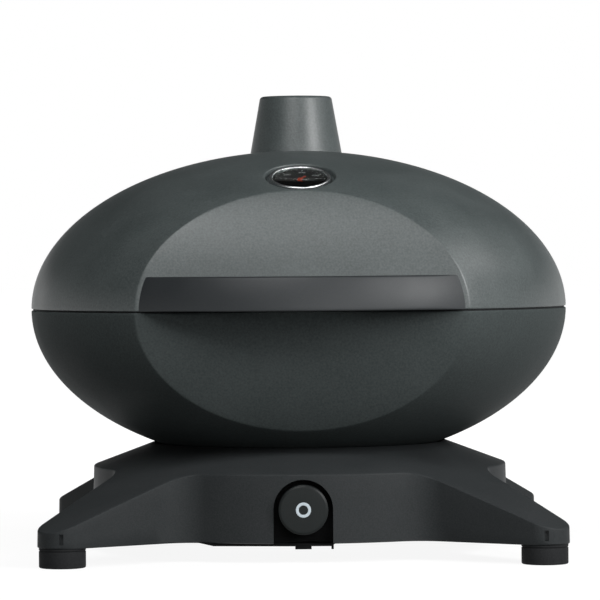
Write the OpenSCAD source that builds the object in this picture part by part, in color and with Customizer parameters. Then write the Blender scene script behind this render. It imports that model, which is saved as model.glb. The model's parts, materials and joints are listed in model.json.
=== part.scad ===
// Countertop gas grill with a hinged lid
// Millimetres, +Z up, the front faces -Y, and the origin is on the floor under the middle of the body.

/* [Body] */
// Radius of the round body at the line where lid and bowl meet
body_r = 240; // [225:1:260]
// Height of the lid above that line, and depth of the bowl below it
body_h = 141; // [130:1:155]
// Wall of the cast lid and bowl
shell_t = 5; // [4:0.5:6]
// Open line between the lid and the bowl
parting_gap = 1.5; // [1:0.1:2.5]
// Radius of the level round cut that flattens the front
front_r = 193; // [186:1:200]
// Width of the gasket on the rim of the bowl
gasket_w = 2; // [1:0.5:2.5]

/* [Handle] */
// Distance of the handle's face behind the round of the body
handle_inset = 2; // [1:0.5:4]
// Thickness of the handle bar
handle_t = 14; // [11:0.5:17]
// Height of the handle bar
handle_h = 30; // [24:1:38]

/* [Chimney] */
// Distance of the chimney behind the middle of the body
chimney_y = 85; // [70:1:100]
// Radius of the chimney's top
chimney_top_r = 32.6; // [31:0.1:38]
// Height of the chimney's top above the lid's top
chimney_rise = 52; // [40:1:70]
// Slope of the chimney's side from upright, in degrees
chimney_slope = 9.9; // [5:0.1:14]
// Radius of the flue
flue_r = 27; // [20:0.5:28]
// Rounding of the chimney's top edge
chimney_round = 3.5; // [1:0.5:4]

/* [Thermometer] */
// Distance of the thermometer in front of the middle of the body
thermo_y = 133; // [120:1:136]
// Radius of the recess in the lid
recess_r = 30.5; // [28:0.5:33]
// Depth of the recess at its middle
recess_d = 7; // [6:0.5:9]
// Radius of the thermometer's bezel
bezel_r = 26.5; // [22:0.5:27]
// Depth of the bezel's top below the lid's surface
bezel_sink = 1.7; // [0.5:0.1:2.5]
// Length of the probe below the recess
probe_l = 50; // [30:1:60]
// Angle of the needle at rest, counted from the right of the dial, in degrees
needle_rest = 234; // [225:1:250]

/* [Base] */
// Height of the rubber feet
foot_h = 17; // [14:0.5:24]
// Radius of the rubber feet
foot_r = 20; // [15:0.5:21]
// Distance of a foot from the middle plane, to the side
foot_x = 205; // [190:1:212]
// Distance of a foot from the middle plane, to front and back
foot_y = 200; // [190:1:208]
// Radius of the round middle of the base
base_r = 185; // [178:1:192]
// Height of the base's round wall
base_wall_h = 59.3; // [54:0.1:68]
// Slope of the deck, in degrees
deck_slope = 20.5; // [18:0.1:22]
// Radius of a leg's end
leg_end_r = 21; // [21:0.5:26]
// Angle by which each side of a leg spreads, in degrees
leg_spread = 10.4; // [6:0.1:13]
// Fillet between a leg and the round middle
leg_fillet = 35; // [15:1:45]
// Wall of the moulded base
base_t = 4; // [3:0.5:5]
// Height of the bowl's lowest point above the base's lower edge
bowl_lift = 58; // [54:1:66]
// Free line between the bowl and the base that carries it
seat_gap = 0.2; // [0.1:0.1:0.5]

/* [Heat shield] */
// Thickness of the shield's sheet
shield_t = 1.5; // [1:0.1:2]
// Distance of the shield below the bowl
shield_drop = 13; // [9:1:16]
// Radius of the circle of screws that hold the bowl
bowl_screw_ring = 100; // [80:1:115]
// Radius of the circle of screws that hold the shield to the base
shield_screw_ring = 150; // [140:1:165]

/* [Knob and valve] */
// Height of the knob's middle above the base's lower edge
knob_lift = 29.5; // [28:0.5:32]
// Radius of the knob
knob_r = 21.25; // [18:0.25:23]
// Length of the knob
knob_l = 19; // [15:1:22]
// Distance the knob stands out of the round wall
knob_out = 6; // [3:0.5:10]
// Radius of the arch around the knob
arch_r = 25.5; // [25:0.5:28]
// Travel of the knob when it is pressed
press_travel = 3; // [1:0.5:3]
// Radius of the valve's plunger
plunger_r = 7; // [6:0.25:8]
// Radius of the knob's stem
stem_r = 4; // [3:0.25:5]
// Outer radius of the gas pipe
pipe_r = 5; // [4:0.25:6]
// Distance of the gas pipe from the middle plane
pipe_x = 72; // [68:1:75]
// Radius of the hose nipple
nipple_r = 4.75; // [4:0.25:5.5]
// Length of the hose nipple
nipple_l = 28; // [20:1:30]

/* [Burner] */
// Radius of the burner's ring
burner_ring_r = 85; // [70:1:88]
// Outer radius of the burner's tube
burner_tube_r = 11; // [10:0.5:13]
// Wall of the burner's tube
burner_t = 2; // [1:0.25:2.5]
// Height of the burner's ring above the floor of the bowl
burner_lift = 32; // [28:1:36]
// Number of gas ports
port_count = 24; // [12:1:36]

/* [Cooking] */
// Depth of the grate's underside below the parting line
grate_drop = 46; // [40:1:52]
// Height of the grate's bars
grate_h = 8; // [6:0.5:12]
// Width of a grate bar
bar_w = 5; // [4:0.5:8]
// Distance between grate bars
bar_pitch = 16; // [12:0.5:20]
// Width of the ledge that carries the grates
ledge_w = 12; // [8:0.5:16]
// Radius of the heat diffuser
diffuser_r = 155; // [145:1:160]
// Height of the heat diffuser above the burner's ring
diffuser_lift = 28; // [22:1:34]

/* [Drip tray] */
// Width of the drip tray's pan
tray_w = 92; // [70:1:96]
// Depth of the drip tray's pan
tray_h = 20; // [14:1:22]
// Distance of the tray's far end in front of the middle
tray_reach = 40; // [25:1:50]

/* [Fits] */
// Radial clearance of a turning or sliding shaft
run_fit = 0.05; // [0.02:0.01:0.08]
// Radial clearance of a screw or plug in its hole
hole_fit = 0.1; // [0.05:0.05:0.3]

/* [Hidden] */

$fn = 96;
eps = 0.5;
dome_steps = 24;

// Colours
cast_grey = [0.22, 0.24, 0.24];
handle_black = [0.1, 0.11, 0.11];
moulded_black = [0.06, 0.06, 0.06];
rubber_black = [0.09, 0.09, 0.09];
iron_black = [0.13, 0.13, 0.14];
steel = [0.7, 0.71, 0.72];
chrome = [0.88, 0.89, 0.9];
brass = [0.75, 0.6, 0.3];
ceramic = [0.92, 0.9, 0.86];
white = [0.95, 0.95, 0.95];
red = [0.85, 0.25, 0.12];
clear = [0.8, 0.9, 0.9, 0.35];

// Heights
base_z = foot_h;
deck_edge_z = base_z + base_wall_h;
bowl_z = base_z + bowl_lift;
parting_z = bowl_z + body_h;
knob_z = base_z + knob_lift;
shield_top = bowl_z - shield_drop;
shield_z = shield_top - shield_t;
burner_z = bowl_z + shell_t + burner_lift;
diffuser_z = burner_z + diffuser_lift;
grate_z = parting_z - grate_drop;

// Radius of an egg-shaped form at a height above its middle, and its height at a radius
function ring_r(inset, z) = (body_r - inset) * sqrt(1 - pow(z / (body_h - inset), 2));
function dome_z(inset, r) = (body_h - inset) * sqrt(1 - pow(r / (body_r - inset), 2));
// Distance of the front cut from the middle plane at a height above the parting line
function front_y(inset, z) = sqrt(pow(front_r - inset, 2) - z * z);
// Height of the deck's cone at a radius
function deck_z(r) = deck_edge_z + tan(deck_slope) * (base_r - r);

// Hinge at the back, as far out as the handle is at the front
knuckle_r = 8.5;
knuckle_gap = 0.6;
pin_r = 3;
hinge_w = 120;
lid_knuckle_w = 64;
knuckle_side_gap = 1;
leaf_t = 3;
leaf_h = 16;
leaf_gap = 1;
hinge_y = body_r - handle_inset - knuckle_r;
rear_y = hinge_y - knuckle_r - knuckle_gap;
hinge_screw_x = hinge_w / 2 - 15;
hinge_screw_z = knuckle_r + leaf_gap + leaf_h / 2;

// Screws
screw_r = 2;
head_r = 4.5;
head_h = 2.5;

// Cast form shared by the lid and the bowl

module egg(inset) {
  r = body_r - inset;
  h = body_h - inset;
  rotate_extrude()
    polygon([for (i = [0 : 2 * dome_steps]) let (a = -90 + 90 * i / dome_steps)
      [i == 0 || i == 2 * dome_steps ? 0 : r * cos(a), h * sin(a)]]);
}

module front_and_back(inset) {
  rotate([0, 90, 0]) cylinder(r = front_r - inset, h = 3 * body_r, center = true);
  translate([-1.5 * body_r, 0, -1.2 * body_h]) cube([3 * body_r, rear_y - inset, 2.4 * body_h]);
}

module body_form(inset) {
  intersection() {
    egg(inset);
    front_and_back(inset);
  }
}

// A slab of the whole width between two heights
module slab(z0, z1) {
  translate([-1.5 * body_r, -1.5 * body_r, z0]) cube([3 * body_r, 3 * body_r, z1 - z0]);
}

module rim_plan(inset) {
  intersection() {
    circle(r = body_r - inset);
    translate([-body_r, inset - front_r]) square([2 * body_r, front_r + rear_y - 2 * inset]);
  }
}

module at_parting() {
  translate([0, 0, parting_z]) children();
}

// Pan-head screw whose head sits on z = 0 and whose shank points up
module screw(shank) {
  color(steel) {
    translate([0, 0, -head_h]) cylinder(r = head_r, h = head_h);
    cylinder(r = screw_r, h = shank);
  }
}

module screw_hole(depth) {
  translate([0, 0, -eps]) cylinder(r = screw_r + hole_fit, h = depth + eps);
}

// Base

leg_d = sqrt(foot_x * foot_x + foot_y * foot_y);
leg_a = atan2(foot_y, foot_x);
leg_angles = [leg_a, 180 - leg_a, 180 + leg_a, 360 - leg_a, 360 + leg_a];
fillet_side = leg_d * sin(leg_spread) + leg_end_r + leg_fillet;
fillet_along = sqrt(pow(base_r + leg_fillet, 2) - fillet_side * fillet_side);
fillet_c = [
  fillet_side * sin(leg_spread) + fillet_along * cos(leg_spread),
  fillet_side * cos(leg_spread) - fillet_along * sin(leg_spread)
];
fillet_a = atan2(fillet_c.y, fillet_c.x);
foot_places = [for (sy = [-1, 1], sx = [-1, 1]) [sx, sy]];
fillet_steps = 6;
leg_end_steps = 10;
wall_steps = 12;

function arc(c, r, a0, a1, n) = [
  for (i = [0 : n]) let (a = a0 + (a1 - a0) * i / n) c + r * [cos(a), sin(a)]
];
function turned(p, a) = [p.x * cos(a) - p.y * sin(a), p.x * sin(a) + p.y * cos(a)];

// Outline of one leg along +X, from the fillet on its right to the fillet on its left
function leg_outline(inset) = concat(
  arc([fillet_c.x, -fillet_c.y], leg_fillet + inset, 180 - fillet_a, 90 + leg_spread, fillet_steps),
  arc([leg_d, 0], leg_end_r - inset, leg_spread - 90, 90 - leg_spread, leg_end_steps),
  arc(fillet_c, leg_fillet + inset, 270 - leg_spread, 180 + fillet_a, fillet_steps)
);

// Outline of the base: four legs, with a stretch of the round middle after each
function base_outline(inset) = [
  for (i = [0 : 3]) each concat(
    [for (p = leg_outline(inset)) turned(p, leg_angles[i])],
    [for (j = [1 : wall_steps - 1])
      let (a0 = leg_angles[i] + fillet_a, a1 = leg_angles[i + 1] - fillet_a)
      let (a = a0 + (a1 - a0) * j / wall_steps)
      (base_r - inset) * [cos(a), sin(a)]]
  )
];

module deck_cone(drop) {
  reach = leg_d + 2 * leg_end_r;
  rotate_extrude() polygon([[0, 0], [reach, 0], [reach, deck_z(reach) - drop], [0, deck_z(0) - drop]]);
}

module base_block(inset) {
  intersection() {
    translate([0, 0, base_z - inset]) linear_extrude(deck_z(0)) polygon(base_outline(inset));
    deck_cone(inset / cos(deck_slope));
  }
}

foot_boss_r = 10;
shield_boss_r = 8;
foot_screw_seat = 6;
foot_screw_l = foot_h - foot_screw_seat + 12;
shield_screw_l = shield_t + 14;
bowl_screw_l = shield_t + 12;
tray_lip_w = 6;
tray_lip_t = 2;
tray_side_gap = 1;
tray_end = base_r + 1;
tray_top = knob_z - 2;
tray_gate_w = tray_w + 2 * tray_lip_w + 4;
inlet_hole_r = 8;

module place_feet() {
  for (p = foot_places) translate([p.x * foot_x, p.y * foot_y, 0]) children();
}

function shield_screw_place(i) = shield_screw_ring * [cos(45 + 90 * i), sin(45 + 90 * i)];
function bowl_screw_place(i) = bowl_screw_ring * [cos(90 + 120 * i), sin(90 + 120 * i)];

module base_housing() color(moulded_black) difference() {
  union() {
    difference() {
      base_block(0);
      base_block(base_t);
    }
    intersection() {
      union() {
        translate([0, 0, base_z]) place_feet() cylinder(r = foot_boss_r, h = base_wall_h);
        for (i = [0 : 3]) translate([each shield_screw_place(i), shield_top])
          cylinder(r = shield_boss_r, h = base_wall_h);
      }
      deck_cone(base_t / 2);
    }
  }
  at_parting() egg(-seat_gap);
  // Arch around the knob
  translate([0, 0, knob_z]) rotate([90, 0, 0]) cylinder(r = arch_r, h = 2 * base_r);
  translate([-arch_r, -2 * base_r, 0]) cube([2 * arch_r, 2 * base_r, knob_z]);
  // Gate of the drip tray
  translate([-tray_gate_w / 2, base_r / 2, 0]) cube([tray_gate_w, base_r, tray_top + tray_lip_t]);
  // Way out of the gas inlet
  translate([-pipe_x, base_r / 2, knob_z]) rotate([-90, 0, 0]) cylinder(r = inlet_hole_r, h = base_r);
  place_feet() translate([0, 0, foot_screw_seat]) screw_hole(foot_screw_l + 1);
  for (i = [0 : 3]) translate([each shield_screw_place(i), shield_z]) screw_hole(shield_screw_l + 1);
}

// Rubber foot with a fine groove under its top and a sunk seat for its screw
module foot(i) {
  groove = 0.8;
  groove_z = foot_h - 2;
  edge = 1.5;
  p = foot_places[i - 1];
  color(rubber_black) translate([p.x * foot_x, p.y * foot_y, 0]) difference() {
    rotate_extrude() polygon([
      [0, 0], [foot_r - edge, 0], [foot_r, edge], [foot_r, groove_z - groove],
      [foot_r - groove, groove_z - groove], [foot_r - groove, groove_z], [foot_r, groove_z],
      [foot_r, foot_h], [0, foot_h]
    ]);
    translate([0, 0, -eps]) cylinder(r = head_r + 1, h = foot_screw_seat + eps);
    screw_hole(foot_h + eps);
  }
}

module foot_screw(i) {
  p = foot_places[i - 1];
  translate([p.x * foot_x, p.y * foot_y, foot_screw_seat]) screw(foot_screw_l);
}

// Sheet that ties the bowl to the base and keeps heat off the valve
shield_r = base_r - base_t - 2;
venturi_hole_r = burner_tube_r + 2;
drain_r = 9;
notch_half_w = knob_r + 10;

module heat_shield() color(steel) difference() {
  translate([0, 0, shield_z]) cylinder(r = shield_r, h = shield_t);
  translate([-notch_half_w, -2 * base_r, 0]) cube([2 * notch_half_w, 2 * base_r - valve_front, parting_z]);
  translate([0, -burner_ring_r, 0]) cylinder(r = venturi_hole_r, h = parting_z);
  cylinder(r = drain_r + 3, h = parting_z);
  for (i = [0 : 3]) translate([each shield_screw_place(i), shield_z]) screw_hole(shield_t + 1);
  for (i = [0 : 2]) translate([each bowl_screw_place(i), shield_z]) screw_hole(shield_t + 1);
}

module shield_screw(i) {
  translate([each shield_screw_place(i - 1), shield_z]) screw(shield_screw_l);
}

module bowl_screw(i) {
  translate([each bowl_screw_place(i - 1), shield_z]) screw(bowl_screw_l);
}

// Valve, behind the knob, on its bracket

knob_face_y = -(base_r + knob_out);
knob_back_y = knob_face_y + knob_l;
valve_front = -(knob_back_y + press_travel + 10);
bracket_t = 2;
bracket_half_w = 35;
valve_half = shield_z - bracket_t - knob_z;
valve_l = 28;
valve_back = valve_front - valve_l;
neck_l = 8;
neck_r = plunger_r + 2.5;
plunger_l = 19;
boss_l = 7;
side_boss_y = -(valve_front - valve_l / 2);
lip_z = foot_h - 2.4;
lip_t = 2;

// Turns +Z to the front, so that a height counts along -Y
module facing_front(y) {
  translate([0, y, knob_z]) rotate([90, 0, 0]) children();
}

// Turns +Z to the back, so that a height counts along +Y
module facing_back(y) {
  translate([0, y, knob_z]) rotate([-90, 0, 0]) children();
}

module valve_bracket() color(iron_black) {
  lip_left = 90;
  lip_right = 26;
  lip_depth = 18;
  tab_w = 14;
  tooth_w = 2;
  tab_drop = 2.6;
  difference() {
    union() {
      translate([-bracket_half_w, -valve_front - bracket_t, lip_z])
        cube([2 * bracket_half_w, bracket_t, shield_z - lip_z]);
      translate([-bracket_half_w, -valve_front - bracket_t, shield_z - bracket_t])
        cube([2 * bracket_half_w, valve_l + 2 * bracket_t, bracket_t]);
      translate([-lip_left, -valve_front - lip_depth, lip_z]) cube([lip_left + lip_right, lip_depth, lip_t]);
      translate([-tab_w / 2, -valve_front - lip_depth, lip_z - tab_drop])
        cube([tab_w, lip_t, tab_drop + eps]);
      translate([lip_right - tooth_w, -valve_front - lip_depth, lip_z - tab_drop])
        cube([tooth_w, lip_t, tab_drop + eps]);
    }
    facing_front(-valve_front + eps) cylinder(r = neck_r + hole_fit, h = bracket_t + 2 * eps);
  }
}

module valve_body() color(brass) difference() {
  union() {
    translate([-valve_half, -valve_front, knob_z - valve_half])
      cube([2 * valve_half, valve_l, 2 * valve_half]);
    facing_front(-valve_front) cylinder(r = neck_r, h = neck_l);
    facing_back(-valve_back) cylinder(r = pipe_r + 1, h = boss_l);
    translate([-valve_half, side_boss_y, knob_z]) rotate([0, -90, 0]) cylinder(r = pipe_r + 2, h = boss_l);
  }
  facing_front(-valve_back - 8) cylinder(r = plunger_r + run_fit, h = valve_l + neck_l);
}

module gas_jet() color(brass) {
  tip_l = 8;
  orifice_r = 0.6;
  difference() {
    facing_back(-valve_back + boss_l) cylinder(r = pipe_r - 1, h = tip_l);
    facing_back(-valve_back) cylinder(r = orifice_r, h = boss_l + tip_l + eps);
  }
}

pipe_t = 1.5;
inlet_depth = 45;
inlet_y = base_r - inlet_depth;

// Pipe from the valve's side, round one bend, to the inlet at the back
module gas_pipe() color(steel) difference() {
  pipe_solid(pipe_r, 0);
  pipe_solid(pipe_r - pipe_t, eps);
}

module pipe_solid(r, more) {
  start_x = -valve_half - boss_l;
  translate([start_x + more, side_boss_y, knob_z]) rotate([0, -90, 0])
    cylinder(r = r, h = pipe_x + start_x + more);
  translate([-pipe_x, side_boss_y, knob_z]) sphere(r = r);
  translate([-pipe_x, side_boss_y, knob_z]) rotate([-90, 0, 0])
    cylinder(r = r, h = inlet_y - side_boss_y + more);
}

// Hose nipple at the back
nut_l = 12;
nut_r = 9;
shank_out = 8;
shank_fit = 2;
shank_l = sqrt(base_r * base_r - pipe_x * pipe_x) - inlet_y - nut_l + shank_out;
nipple_y = inlet_y + nut_l + shank_l;

module gas_inlet() color(brass) translate([-pipe_x, inlet_y, knob_z]) rotate([-90, 0, 0]) difference() {
  union() {
    cylinder(r = nut_r, h = nut_l, $fn = 6);
    cylinder(r = inlet_hole_r - shank_fit, h = nut_l + shank_l);
    cylinder(r = nipple_r, h = nut_l + shank_l + nipple_l);
  }
  translate([0, 0, -eps]) cylinder(r = nipple_r - pipe_t, h = nut_l + shank_l + nipple_l + 2 * eps);
}

// Knob, pressed in and turned

module valve_plunger() color(brass) difference() {
  facing_front(-valve_front + plunger_l - neck_l - 2) cylinder(r = plunger_r, h = plunger_l);
  facing_front(-valve_front + plunger_l) cylinder(r = stem_r + run_fit, h = 2 * plunger_l);
}

hub_r = plunger_r;
hub_depth = 5;
mark_out_r = 6.5;
mark_in_r = 4;
mark_t = 0.6;

module knob_stem() color(steel) facing_front(-valve_front + plunger_l - neck_l - 4)
  cylinder(r = stem_r, h = -(knob_face_y + hub_depth) - valve_front + plunger_l - neck_l - 4);

module knob() color(handle_black) {
  edge = 1;
  skirt_t = 3;
  facing_front(knob_back_y) difference() {
    rotate_extrude() polygon([
      [0, 0], [knob_r, 0], [knob_r, knob_l - edge], [knob_r - edge, knob_l], [0, knob_l]
    ]);
    difference() {
      translate([0, 0, -eps]) cylinder(r = knob_r - skirt_t, h = knob_l - hub_depth + eps);
      cylinder(r = hub_r, h = knob_l);
    }
    translate([0, 0, -eps]) cylinder(r = stem_r + hole_fit, h = knob_l - hub_depth + eps);
    translate([0, 0, knob_l - mark_t]) difference() {
      cylinder(r = mark_out_r + hole_fit, h = mark_t + eps);
      cylinder(r = mark_in_r - hole_fit, h = mark_t + eps);
    }
  }
}

// Off ring on the knob's face
module knob_mark() color(white) facing_front(knob_face_y + mark_t) difference() {
  cylinder(r = mark_out_r, h = mark_t);
  translate([0, 0, -eps]) cylinder(r = mark_in_r, h = mark_t + 2 * eps);
}

// Drip tray and its rails

rail_t = 2;
rail_z = tray_top - tray_lip_t - rail_t - 0.2;
rail_end = base_r - 30;

module tray_rail(s) color(steel) mirror([s < 0 ? 1 : 0, 0, 0]) {
  web_x = tray_w / 2 + tray_lip_w + tray_side_gap;
  foot_x0 = tray_w / 2 + tray_side_gap;
  translate([web_x, -tray_reach, rail_z]) cube([rail_t, rail_end + tray_reach, shield_z - rail_z]);
  translate([foot_x0, -tray_reach, rail_z]) cube([web_x - foot_x0 + eps, rail_end + tray_reach, rail_t]);
}

module drip_tray() color(steel) {
  wall = 1.5;
  end_t = 3;
  end_w = tray_w + 2 * tray_lip_w;
  pan_z = tray_top - tray_h;
  l = tray_end + tray_reach - end_t;
  difference() {
    union() {
      translate([-tray_w / 2, -tray_reach, pan_z]) cube([tray_w, l, tray_h]);
      translate([-end_w / 2, -tray_reach, tray_top - tray_lip_t]) cube([end_w, l, tray_lip_t]);
    }
    translate([-tray_w / 2 + wall, -tray_reach + wall, pan_z + wall])
      cube([tray_w - 2 * wall, l - 2 * wall, tray_h]);
  }
  translate([-end_w / 2, tray_end - end_t, pan_z - 2]) cube([end_w, end_t, tray_h + 2]);
}

// Bowl

bowl_boss_r = 8;
post_r = 6;
post_inset = 15;
post_ring = diffuser_r - post_inset;
ledge_h = 6;
igniter_r = 3.5;
igniter_gap = 8;
igniter_a = -60;
igniter_place = (burner_ring_r + burner_tube_r + igniter_gap) * [cos(igniter_a), sin(igniter_a)];

module bowl_shell() color(cast_grey) difference() {
  union() {
    at_parting() difference() {
      intersection() {
        body_form(0);
        slab(-2 * body_h, -parting_gap / 2);
      }
      body_form(shell_t);
    }
    // Bosses under the bowl for its screws
    difference() {
      for (i = [0 : 2]) translate([each bowl_screw_place(i), shield_top])
        cylinder(r = bowl_boss_r, h = body_h / 2);
      at_parting() egg(shell_t);
    }
    // Posts that carry the heat diffuser
    intersection() {
      for (i = [0 : 3]) rotate(45 + 90 * i) translate([post_ring, 0, bowl_z])
        cylinder(r = post_r, h = diffuser_z - bowl_z);
      at_parting() egg(shell_t / 2);
    }
    // Ledge that carries the grates
    at_parting() intersection() {
      difference() {
        body_form(shell_t / 2);
        body_form(shell_t + ledge_w);
      }
      slab(-grate_drop - ledge_h, -grate_drop);
    }
  }
  translate([0, 0, bowl_z - eps]) cylinder(r = drain_r, h = 2 * shell_t);
  translate([0, -burner_ring_r, bowl_z - eps]) cylinder(r = venturi_hole_r, h = body_h / 3);
  translate([each igniter_place, bowl_z]) cylinder(r = igniter_r + hole_fit, h = body_h / 3);
  for (i = [0 : 2]) translate([each bowl_screw_place(i), shield_z]) screw_hole(bowl_screw_l + 1);
  for (s = [-1, 1]) translate([s * hinge_screw_x, rear_y + leaf_t, parting_z - hinge_screw_z])
    rotate([90, 0, 0]) screw_hole(shell_t + 2 * leaf_t);
}

module bowl_gasket() color(rubber_black) at_parting() translate([0, 0, -parting_gap / 2])
  linear_extrude(parting_gap) difference() {
    rim_plan((shell_t - gasket_w) / 2);
    rim_plan((shell_t + gasket_w) / 2);
  }

// Hinge

// Leaf of the bowl: the plate hangs down, and its knuckles lie outside those of the lid
module leaf(knuckles) {
  translate([-hinge_w / 2, rear_y, -knuckle_r - leaf_gap - leaf_h]) cube([hinge_w, leaf_t, leaf_h]);
  for (k = knuckles) {
    translate([k[0], rear_y, -knuckle_r - leaf_gap - eps])
      cube([k[1] - k[0], hinge_y - rear_y, knuckle_r + leaf_gap + eps]);
    translate([k[0], hinge_y, 0]) rotate([0, 90, 0]) cylinder(r = knuckle_r, h = k[1] - k[0]);
  }
}

module pin_bore() {
  translate([-hinge_w, hinge_y, 0]) rotate([0, 90, 0]) cylinder(r = pin_r + run_fit, h = 2 * hinge_w);
}

module leaf_screw_holes() {
  for (s = [-1, 1]) translate([s * hinge_screw_x, rear_y + leaf_t, -hinge_screw_z])
    rotate([90, 0, 0]) screw_hole(2 * leaf_t);
}

module bowl_hinge() color(cast_grey) at_parting() difference() {
  inner = lid_knuckle_w / 2 + knuckle_side_gap;
  leaf([[-hinge_w / 2, -inner], [inner, hinge_w / 2]]);
  pin_bore();
  leaf_screw_holes();
}

module lid_hinge() color(cast_grey) at_parting() mirror([0, 0, 1]) difference() {
  leaf([[-lid_knuckle_w / 2, lid_knuckle_w / 2]]);
  pin_bore();
  leaf_screw_holes();
}

module hinge_pin() color(steel) {
  cap_t = 2;
  cap_r = pin_r + 1.5;
  translate([-hinge_w / 2, hinge_y, parting_z]) rotate([0, 90, 0]) {
    cylinder(r = pin_r, h = hinge_w);
    translate([0, 0, -cap_t]) cylinder(r = cap_r, h = cap_t);
    translate([0, 0, hinge_w]) cylinder(r = cap_r, h = cap_t);
  }
}

module hinge_screw(s, up) {
  translate([s * hinge_screw_x, rear_y + leaf_t, parting_z + up * hinge_screw_z])
    rotate([90, 0, 0]) screw(shell_t + leaf_t + 1);
}

// Burner, grates and diffuser

port_r = 1.5;
venturi_r = burner_tube_r - 1;

module burner_torus(r) {
  translate([0, 0, burner_z]) rotate_extrude() translate([burner_ring_r, 0]) circle(r = r);
}

module burner_ring() color(steel) difference() {
  burner_torus(burner_tube_r);
  burner_torus(burner_tube_r - burner_t);
  for (i = [0 : port_count - 1]) rotate(360 * i / port_count) translate([burner_ring_r, 0, burner_z])
    cylinder(r = port_r, h = 2 * burner_tube_r);
  translate([0, -burner_ring_r, burner_z - 2 * burner_tube_r])
    cylinder(r = venturi_r - burner_t, h = 2 * burner_tube_r);
}

// Mixing tube from the jet up into the burner
mouth_gap = 14;
venturi_mouth_y = -valve_back + boss_l + mouth_gap;

module venturi_solid(r, more) {
  translate([0, 0, knob_z]) {
    translate([0, -burner_ring_r, 0]) sphere(r = r);
    translate([0, -burner_ring_r, 0]) cylinder(r = r, h = burner_z - knob_z);
    translate([0, -burner_ring_r, 0]) rotate([90, 0, 0])
      cylinder(r = r, h = -burner_ring_r - venturi_mouth_y + more);
  }
}

module venturi() color(steel) difference() {
  venturi_solid(venturi_r, 0);
  venturi_solid(venturi_r - burner_t, eps);
  burner_torus(burner_tube_r);
}

module burner_post(i) color(steel) difference() {
  intersection() {
    rotate(-30 + 120 * (i - 1)) translate([burner_ring_r, 0, bowl_z])
      cylinder(r = post_r - 1, h = burner_z - bowl_z);
    at_parting() egg(shell_t);
  }
  burner_torus(burner_tube_r);
}

module igniter() color(ceramic) {
  tip_r = 1;
  tip_rise = 6;
  tip_l = 12;
  above_shield = 4;
  above_burner = 4;
  low_z = shield_top + above_shield;
  h = burner_z + burner_tube_r + above_burner - low_z;
  translate([each igniter_place, low_z]) {
    cylinder(r = igniter_r, h = h);
    translate([0, 0, h]) cylinder(r = tip_r, h = tip_rise);
    translate([0, 0, h + tip_rise - tip_r]) rotate([0, -90, igniter_a]) cylinder(r = tip_r, h = tip_l);
  }
}

module heat_diffuser() color(steel) {
  sheet = 1.5;
  rim_h = 7;
  slot_n = 18;
  slot_w = 6;
  slot_in = diffuser_r * 0.35;
  slot_out = diffuser_r * 0.78;
  translate([0, 0, diffuser_z]) difference() {
    cylinder(r = diffuser_r, h = rim_h);
    translate([0, 0, sheet]) cylinder(r = diffuser_r - sheet, h = rim_h);
    for (i = [0 : slot_n - 1]) rotate(360 * i / slot_n) translate([slot_in, -slot_w / 2, -eps])
      cube([slot_out - slot_in, slot_w, sheet + 2 * eps]);
  }
}

grate_gap = 2.5;

module grate_plan(inset) {
  z = grate_drop;
  front = front_y(shell_t, z) - grate_gap - inset;
  intersection() {
    circle(r = ring_r(shell_t, z) - grate_gap - inset);
    translate([-body_r, -front]) square([2 * body_r, front + rear_y - shell_t - grate_gap - inset]);
    translate([grate_gap / 2 + inset, -body_r]) square([body_r, 2 * body_r]);
  }
}

module grate(s) color(iron_black) mirror([s < 0 ? 1 : 0, 0, 0]) translate([0, 0, grate_z])
  linear_extrude(grate_h) {
    frame_w = bar_w + 2;
    cross_y = body_r / 3;
    difference() {
      grate_plan(0);
      grate_plan(frame_w);
    }
    intersection() {
      grate_plan(1);
      union() {
        for (x = [bar_pitch : bar_pitch : body_r]) translate([x - bar_w / 2, -body_r])
          square([bar_w, 2 * body_r]);
        for (y = [-cross_y, cross_y]) translate([0, y - bar_w / 2]) square([body_r, bar_w]);
      }
    }
  }

// Lid

thermo_z = dome_z(0, thermo_y);
thermo_tilt = atan2(thermo_y / (body_r * body_r), thermo_z / (body_h * body_h));
recess_wall = 5;
probe_r = 3.5;
spigot_r = flue_r + 3;
ring_h = 12;
spigot_z = dome_z(shell_t, chimney_y + spigot_r) - ring_h;
handle_mid = handle_h / 2;
pad_in = sqrt(pow(ring_r(handle_inset + handle_t, handle_mid), 2) - pow(front_y(0, handle_mid), 2));
pad_out = sqrt(pow(ring_r(handle_inset, handle_mid), 2) - pow(front_y(0, handle_mid), 2));
handle_screw_x = pad_in + 0.35 * (pad_out - pad_in);
handle_screw_seat = front_y(shell_t, handle_mid) + 2;
handle_screw_l = 10;

// The thermometer's own frame: its origin on the lid, +Z out of the lid
module at_thermo() {
  translate([0, -thermo_y, parting_z + thermo_z]) rotate([thermo_tilt, 0, 0]) children();
}

module at_handle_screw(s) {
  translate([s * handle_screw_x, -handle_screw_seat, parting_z + handle_mid]) rotate([90, 0, 0]) children();
}

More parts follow.
